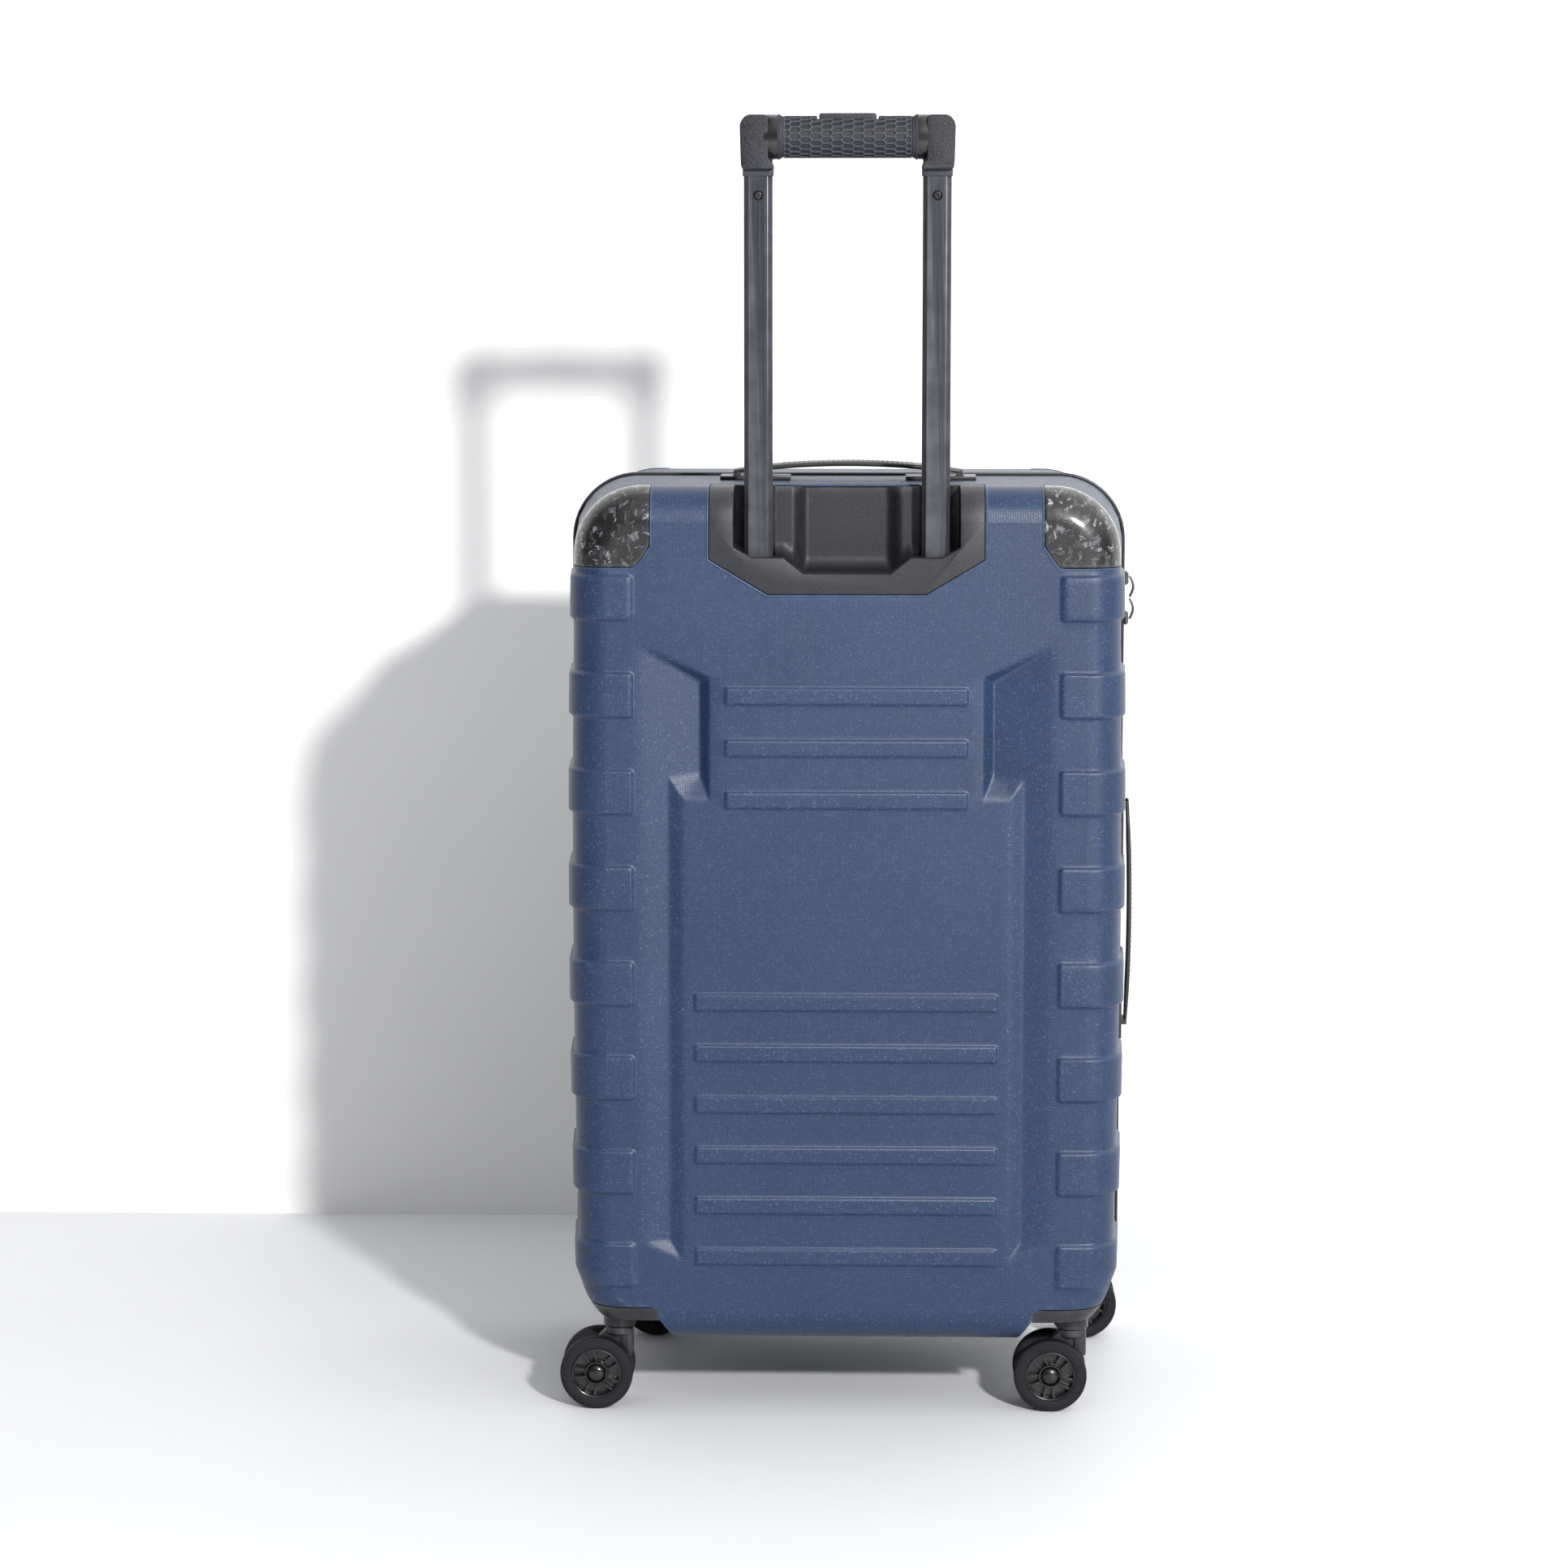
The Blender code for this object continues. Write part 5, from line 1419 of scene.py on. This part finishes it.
def forkShape(side, hand):
    # The fork: a flat web between the twin wheels from the swivel down to the axle, a rounded leg on the far
    # side of the swivel, and a drum under the collar.
    lean = 1 if side < 0 else -1
    x, y, top = hand * caster["x"], side * caster["y"], caster["collarBottom"] - case["gap"]
    around = np.radians(-60 - 15 * np.arange(13))
    r, half = caster["eye"], caster["webHalf"]
    eye = np.stack([-caster["trail"] + r * np.cos(around), caster["wheelZ"] + r * np.sin(around)], -1)
    web = np.concatenate([[(-0.0108, top - 0.003), (0.0100, top - 0.003), (0.0100, 0.0440), (0.0080, 0.0375)],
                          eye,
                          [(-0.0235, 0.0480), (-0.0185, 0.0560)]])
    outline = np.stack([x + lean * web[:, 0], web[:, 1]], -1)
    parts = [slab(outline, "Y", y - half, y + half, 0.0010, 3)]
    leg = softCorners([(0.0015, -caster["legHalf"]), (0.0114, -caster["legHalf"]),
                       (0.0114, caster["legHalf"]), (0.0015, caster["legHalf"])],
                      [0.001, 0.0055, 0.0055, 0.001], 7)
    parts.append(slab(leg * (lean, 1) + (x, y), "Z", 0.0436, top - 0.0006, 0.0012, 3))
    parts.append(lathe([(0.0, 0.0588), (0.0104, 0.0588), (0.0116, 0.0600), (0.0116, top - 0.0008),
                        (0.0110, top), (0.0, top)], "Z", (x, y, 0.0), 48))
    stem = caster["stem"]
    parts.append(lathe([(0.0, top - 0.002), (stem, top - 0.002), (stem, 0.0855), (0.0, 0.0855)], "Z",
                       (x, y, 0.0), 24))
    axleX = x - lean * caster["trail"]
    reach = caster["spacing"] / 2 + 0.0015
    axle = [(0.0, -reach), (caster["axle"], -reach), (caster["axle"], reach), (0.0, reach)]
    parts.append(lathe(axle, "Y", (axleX, y, caster["wheelZ"]), 20))
    cheeks = lathe([(0.0, -0.0084), (0.0062, -0.0084), (0.0068, -0.0078), (0.0068, 0.0078), (0.0062, 0.0084),
                    (0.0, 0.0084)], "Y",
                   (axleX, y, caster["wheelZ"]), 32)
    return [(part, "housingPlastic") for part in parts + [cheeks]]


def hubShape(axis, way, phase):
    # A hub: a rim ring, a back disc, five pairs of spokes that widen towards the rim, a ring and a domed cap.
    steps = wheel["steps"]

    def turned(profile, closed=True):
        rows = [(r, way * h) for r, h in profile]
        return lathe(rows + rows[:1] if closed else rows, "Y", axis, steps,
                     (False, False) if closed else (True, True))

    parts = [turned(wheel["rimRing"]), turned(wheel["backDisc"]), turned(wheel["innerRing"]),
             turned(wheel["cap"], False)]
    (farMid, farHalf), (nearMid, nearHalf) = wheel["spokeRim"], wheel["spokeHub"]
    near, far = wheel["hubRing"] - 0.0004, wheel["rim"]
    heights = sorted(axis[1] + way * height for height in wheel["spokeHeights"])
    for k in range(wheel["spokes"]):
        for sign in (-1, 1):
            angle = math.radians(phase + 360 / wheel["spokes"] * k)
            outline = np.array([(near, sign * nearMid - nearHalf), (far, sign * farMid - farHalf),
                                (far, sign * farMid + farHalf), (near, sign * nearMid + nearHalf)])
            turn = np.array([[math.cos(angle), math.sin(angle)], [-math.sin(angle), math.cos(angle)]])
            flat = outline @ turn
            parts.append(slab(flat + (axis[0], axis[2]), "Y", *heights, 0.00045, 2))
    return [(part, "hubPlastic") for part in parts]


def tyreShape(axis, way):
    # A flat sidewall with a fine groove near its outer edge, and a rounded tread.
    rows = [(r, way * h) for r, h in wheel["tyre"]]
    return lathe(rows + rows[:1], "Y", axis, wheel["tyreSteps"], (False, False))


for sideName, side, rides in (("back", -1, "back_case"), ("front", 1, "front_case")):
    for handName, hand in (("left", -1), ("right", 1)):
        label = f"{sideName}_{handName}"
        addHousing(label, side, hand, rides)
        addPiece("fork_" + label, forkShape(side, hand), "caster_" + label,
                 ["caster_fork_" + label], 36)
        axleX = hand * caster["x"] + side * caster["trail"]
        for twin, way in (("outer", side), ("inner", -side)):
            axis = (axleX, side * caster["y"] + way * caster["spacing"] / 2, caster["wheelZ"])
            rolls = f"wheel_{label}_{twin}"
            phase = wheel["phase"][handName] + (17 if twin == "inner" else 0)
            addPiece(f"wheel_hub_{label}_{twin}", hubShape(axis, way, phase), rolls,
                     [f"hub_{label}_{twin}"], 40)
            addPiece(f"wheel_tyre_{label}_{twin}", [(tyreShape(axis, way), "tyreRubber")], rolls,
                     [f"tyre_{label}_{twin}"], 50)
print("casters made")


# Inside: linings, divider, packing straps and the cloth of the hinge.

lining = {
    "halfX": 0.2125, "top": 0.7430, "bottom": 0.0745, "corner": 0.0415, "slope": 0.0280, "power": 7,
    "floor": 0.1372,
    "start": 0.0010, "thick": 0.0009, "boxEdge": 0.0045,
    "tunnel": (0.1010, 0.6640, 0.1165), "hump": (0.1145, 0.6530, 0.0970), "well": (0.1455, 0.0960, 0.0640),
}


def liningShape(side):
    # A tub of cloth as a height over the zip plane: with t the distance in from its border, the depth is
    # floor * (1 - (1 - t / slope)^power), held up by boxes over the trolley and the wheel housings, with
    # slight waves. Corner squares of the grid are rounded as on the skin.
    half, corner = lining["halfX"], lining["corner"]
    fine = lining["slope"] * (1 - (1 - np.linspace(0, 0.999, 22)) ** (1 / lining["power"]))
    pitch = 0.0060

    def axisLines(low, high, extra):
        inner = np.arange(low + lining["slope"] + pitch, high - lining["slope"], pitch)
        more = np.concatenate([[place + d for d in (-0.0045, -0.0025, -0.0008, 0.0008, 0.0025,
                                                    0.0045)] for place in extra] or [[]])
        every = np.sort(np.concatenate([low + fine, high - fine, inner, more]))
        return every[np.concatenate([[True], np.diff(every) > 0.00015])]

    tunnelX, tunnelZ, tunnelDepth = lining["tunnel"]
    humpX, humpZ, humpDepth = lining["hump"]
    wellX, wellZ, wellDepth = lining["well"]
    xs = axisLines(-half, half, [-wellX, -tunnelX, tunnelX, wellX] + ([-humpX, humpX] if side < 0 else []))
    zs = axisLines(lining["bottom"], lining["top"], [wellZ] + ([tunnelZ, humpZ] if side < 0 else []))
    x, z = np.meshgrid(xs, zs)
    middle = (lining["top"] + lining["bottom"]) / 2
    px = np.clip(np.abs(x) - (half - corner), 0, None)
    pz = np.clip(np.abs(z - middle) - ((lining["top"] - lining["bottom"]) / 2 - corner), 0, None)
    both = (px > 1e-9) & (pz > 1e-9)
    squeeze = np.where(both, np.maximum(px, pz) / np.maximum(np.hypot(px, pz), 1e-9), 1.0)
    newX = np.sign(x) * (np.minimum(np.abs(x), half - corner) + px * squeeze)
    upDown = np.sign(z - middle)
    newZ = middle + upDown * (np.minimum(np.abs(z - middle),
                                         (lining["top"] - lining["bottom"]) / 2 - corner) + pz * squeeze)
    inside = np.minimum(half - np.abs(x), (lining["top"] - lining["bottom"]) / 2 - np.abs(z - middle))
    t = np.clip(inside / lining["slope"], 0, 1)
    depth = lining["start"] + (lining["floor"] - lining["start"]) * (1 - (1 - t) ** lining["power"])
    wave = 0.0007 * (np.sin(31 * x + 9 * z) * np.sin(23 * z) + 0.6 * np.sin(57 * z - 20 * x)) * t ** 2
    depth = depth - np.abs(wave)

    def held(depth, mask, cap):
        return depth * (1 - mask) + np.minimum(depth, cap) * mask

    def box(past, over):
        edge = lining["boxEdge"]
        return smoothStep(past, -edge, edge) * smoothStep(over, -edge, edge)

    if side < 0:
        depth = held(depth, box(tunnelX - np.abs(newX), tunnelZ - newZ), tunnelDepth)
        depth = held(depth, box(humpX - np.abs(newX), newZ - humpZ), humpDepth)
    depth = held(depth, box(np.abs(newX) - wellX, wellZ - newZ), wellDepth)
    return np.stack([newX, side * depth, newZ], -1)


def addCloth(name, rows, thick, body, look, stands):
    # An open grid of points as a cloth with a little thickness, and its own unrolled coordinates.
    count, across = rows.shape[:2]
    along = np.concatenate([np.zeros((1, across)),
                            np.cumsum(np.linalg.norm(np.diff(rows, axis=0), axis=-1), 0)])
    over = np.concatenate([np.zeros((count, 1)),
                           np.cumsum(np.linalg.norm(np.diff(rows, axis=1), axis=-1), 1)], 1)
    points, faces = sheetOf(rows)
    mesh = bpy.data.meshes.new(name)
    mesh.from_pydata(points.tolist(), [], faces)
    toUnrolled(mesh, np.stack([over, along], -1).reshape(-1, 2))
    mesh.shade_smooth()
    mesh.materials.append(materials[look])
    item = placed(name, mesh)
    cover = item.modifiers.new("thickness", "SOLIDIFY")
    cover.thickness = thick
    cover.offset = 0.0
    if body:
        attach(item, body)
    if stands:
        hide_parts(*stands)
    return item


for sideName, side in (("back", -1), ("front", 1)):
    rows = liningShape(side)
    item = addCloth("lining_cloth_" + sideName, rows, lining["thick"], sideName + "_case",
                    "liningCloth", ["lining_" + sideName])

divider = {
    "inset": 0.0145, "y": (0.0020, 0.0043), "step": 0.008, "binding": (0.0024, 0.0015),
    "pocketZ": (0.560, 0.330), "pocketHalf": 0.165, "tape": (0.0055, 0.0004), "track": (0.0014, 0.0006),
}


def makeDivider():
    # A panel inside the zip's outline with a bound border and two straight pocket zips with pull tabs.
    low, high = divider["y"]
    half = divider["pocketHalf"]
    outline = spaced(zipLine(1, 0.0, -divider["inset"])[0][:, [0, 2]], divider["step"], True)
    panel = slab(outline, "Y", low, high, 0.0009, 2)
    line = np.stack([outline[:, 0], np.full(len(outline), (low + high) / 2), outline[:, 1]], -1)
    towardsBack = (0.0, -1.0, 0.0)
    binding = sweep(line, oval(*divider["binding"], 12), towardsBack, closed=True)
    parts = [(panel, "zipTape"), (binding, "piping")]
    for z in divider["pocketZ"]:
        track = np.stack([np.linspace(-half, half, 12), np.full(12, low - 0.0001), np.full(12, z)], -1)
        parts.append((sweep(track, oval(*divider["tape"], 12, 0.5), towardsBack), "piping"))
        parts.append((sweep(track + (0, -0.0004, 0), oval(*divider["track"], 10), towardsBack), "blackSteel"))
        tab = softCorners([(half - 0.012, z - 0.0035), (half + 0.014, z - 0.0025),
                           (half + 0.014, z + 0.0025), (half - 0.012, z + 0.0035)], 0.0015, 3)
        parts.append((slab(tab, "Y", low - 0.0014, low - 0.0002, 0.0004, 2), "blackSteel"))
    addPiece("divider_cloth", parts, "front_case", ["divider_panel"])


makeDivider()

hingeCloth = {
    "low": 0.150, "high": 0.650, "reach": 0.0105, "sewnX": -0.2131, "bowX": -0.2192, "thick": 0.0008,
}


def addHingeCloth():
    # A strip along the hinge, sewn to the border of both linings: across it, x bows outwards as
    # sewn + (bow - sewn) * cos(y / reach * 90 degrees), with a slight wave along its length.
    y = np.linspace(-hingeCloth["reach"], hingeCloth["reach"], 25)
    z = np.linspace(hingeCloth["low"], hingeCloth["high"], 90)
    across, up = np.meshgrid(y, z)
    bow = np.cos(across / hingeCloth["reach"] * math.pi / 2)
    x = hingeCloth["sewnX"] + (hingeCloth["bowX"] - hingeCloth["sewnX"]) * bow * (1 + 0.05 * np.sin(70 * up))
    rows = np.stack([x, across, up], -1)
    item = addCloth("hinge_cloth", rows, hingeCloth["thick"], "", "zipTape", [])
    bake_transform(item)


addHingeCloth()


def strapLine(start, end, lift, width, thick):
    # A straight run of webbing that sags by lift * sin(pi * t).
    t = np.linspace(0, 1, 40)[:, None]
    line = np.array(start) * (1 - t) + np.array(end) * t
    line[:, 1] -= lift * np.sin(math.pi * t[:, 0])
    return sweep(line, oval(width / 2, thick / 2, 16, 0.35), (0.0, 1.0, 0.0))


strap = {"endX": 0.2112, "high": 0.600, "low": 0.230, "y": (-0.0180, -0.0200), "sag": 0.003, "wide": 0.028,
         "thick": 0.0016,
         "tabX": (0.2098, 0.2120), "tabY": (-0.0300, -0.0080), "tabHalf": 0.022, "buckle": (0.026, 0.017)}
straps = [
    (strapLine((-hand * strap["endX"], y, strap["high"]), (hand * strap["endX"], y, strap["low"]),
               strap["sag"], strap["wide"], strap["thick"]), "zipTape")
    for hand, y in zip((1, -1), strap["y"])
]
for hand in (-1, 1):
    for z in (strap["high"], strap["low"]):
        (y0, y1), half = strap["tabY"], strap["tabHalf"]
        tab = softCorners([(y0, z - half), (y1, z - half), (y1, z + half), (y0, z + half)], 0.005, 4)
        tabX = sorted(hand * x for x in strap["tabX"])
        straps.append((slab(tab, "X", *tabX, 0.0007, 2), "blackPlastic"))
middleZ = (strap["high"] + strap["low"]) / 2
wide, tall = strap["buckle"]
buckle = softCorners([(-wide, middleZ - tall), (wide, middleZ - tall), (wide, middleZ + tall),
                      (-wide, middleZ + tall)], 0.007, 5)
straps.append((slab(buckle, "Y", -0.0270, -0.0175, 0.0018, 4), "blackPlastic"))
print("inside made")
addPiece("packing_straps", straps, "back_case", [], 50)


# The room, the lights and the camera.

room = {
    "wallY": 0.53, "wide": 24, "floor": tone(206, 207, 210), "wall": tone(232, 232, 232),
    "lampAt": (1.65, -4.0, 2.23), "lampSize": 0.14, "lampWatts": 1150.0,
    "left": 0.22, "right": 1.38, "low": 0.01, "high": 1.42,
}

view = {"lens": 93.17, "sensor": 36.0, "at": (0.0315, -3.3563, 0.9486), "turns": (82.37, 0.0, 1.45)}


def makeRoom():
    wide = room["wide"]
    for name, corners, colour in (
        ("floor", [(-wide, -wide, 0), (wide, -wide, 0), (wide, wide, 0), (-wide, wide, 0)], room["floor"]),
        ("backdrop", [(-wide, room["wallY"], 0), (wide, room["wallY"], 0), (wide, room["wallY"], 6),
                      (-wide, room["wallY"], 6)], room["wall"]),
    ):
        mesh = bpy.data.meshes.new(name)
        mesh.from_pydata(corners, [], [(0, 1, 2, 3)])
        look = bpy.data.materials.new(name + " paint")
        look.use_nodes = True
        tree = look.node_tree
        shader = tree.nodes["Principled BSDF"]
        shader.inputs["Roughness"].default_value = 0.85 if name == "backdrop" else 0.55
        coords = put(tree, "ShaderNodeTexCoord").outputs["Object"]
        broad = put(tree, "ShaderNodeTexNoise",
                    {"Vector": coords, "Scale": 3.0, "Detail": 6.0, "Roughness": 0.6}).outputs[0]
        shade = mixed(tree, ranged(tree, broad, 0.35, 0.75, 0.0, 0.35), colour,
                      tuple(c * 0.93 for c in colour[:3]) + (1.0,))
        tree.links.new(shade, shader.inputs["Base Color"])
        plaster = put(tree, "ShaderNodeTexNoise", {"Vector": coords, "Scale": 14.0, "Detail": 5.0}).outputs[0]
        bumped(tree, shader, plaster, 0.002, 0.35)
        if name == "backdrop":
            clear = put(tree, "ShaderNodeBsdfTransparent").outputs[0]
            behind = put(tree, "ShaderNodeNewGeometry").outputs["Backfacing"]
            both = put(tree, "ShaderNodeMixShader", {0: behind, 1: shader.outputs[0], 2: clear}).outputs[0]
            tree.links.new(both, tree.nodes["Material Output"].inputs["Surface"])
        mesh.materials.append(look)
        placed(name, mesh)


def makeLights():
    lamp = bpy.data.lights.new("lamp", "POINT")
    lamp.energy = room["lampWatts"]
    lamp.shadow_soft_size = room["lampSize"]
    lamp.color = (1.0, 0.99, 0.975)
    placed("lamp", lamp).location = room["lampAt"]
    world = bpy.data.worlds.new("soft white room")
    world.use_nodes = True
    tree = world.node_tree
    # The room is brighter overhead and towards +X.
    way = put(tree, "ShaderNodeTexCoord").outputs["Generated"]
    split = put(tree, "ShaderNodeSeparateXYZ", {0: way}).outputs
    across = ranged(tree, split[0], -0.7, 0.7, room["left"], room["right"])
    strength = maths(tree, "MULTIPLY", across, ranged(tree, split[2], 0.0, 0.75, room["low"], room["high"]))
    tree.links.new(strength, tree.nodes["Background"].inputs["Strength"])
    tree.nodes["Background"].inputs["Color"].default_value = (0.985, 0.99, 1.0, 1.0)
    bpy.context.scene.world = world


def makeCamera():
    lens = bpy.data.cameras.new("camera")
    lens.lens = view["lens"]
    lens.sensor_width = view["sensor"]
    item = placed("camera", lens)
    item.location = view["at"]
    item.rotation_euler = [math.radians(turn) for turn in view["turns"]]
    bpy.context.scene.camera = item


makeRoom()
makeLights()
makeCamera()
bpy.context.scene.view_settings.view_transform = "Standard"
bpy.context.scene.view_settings.look = "None"
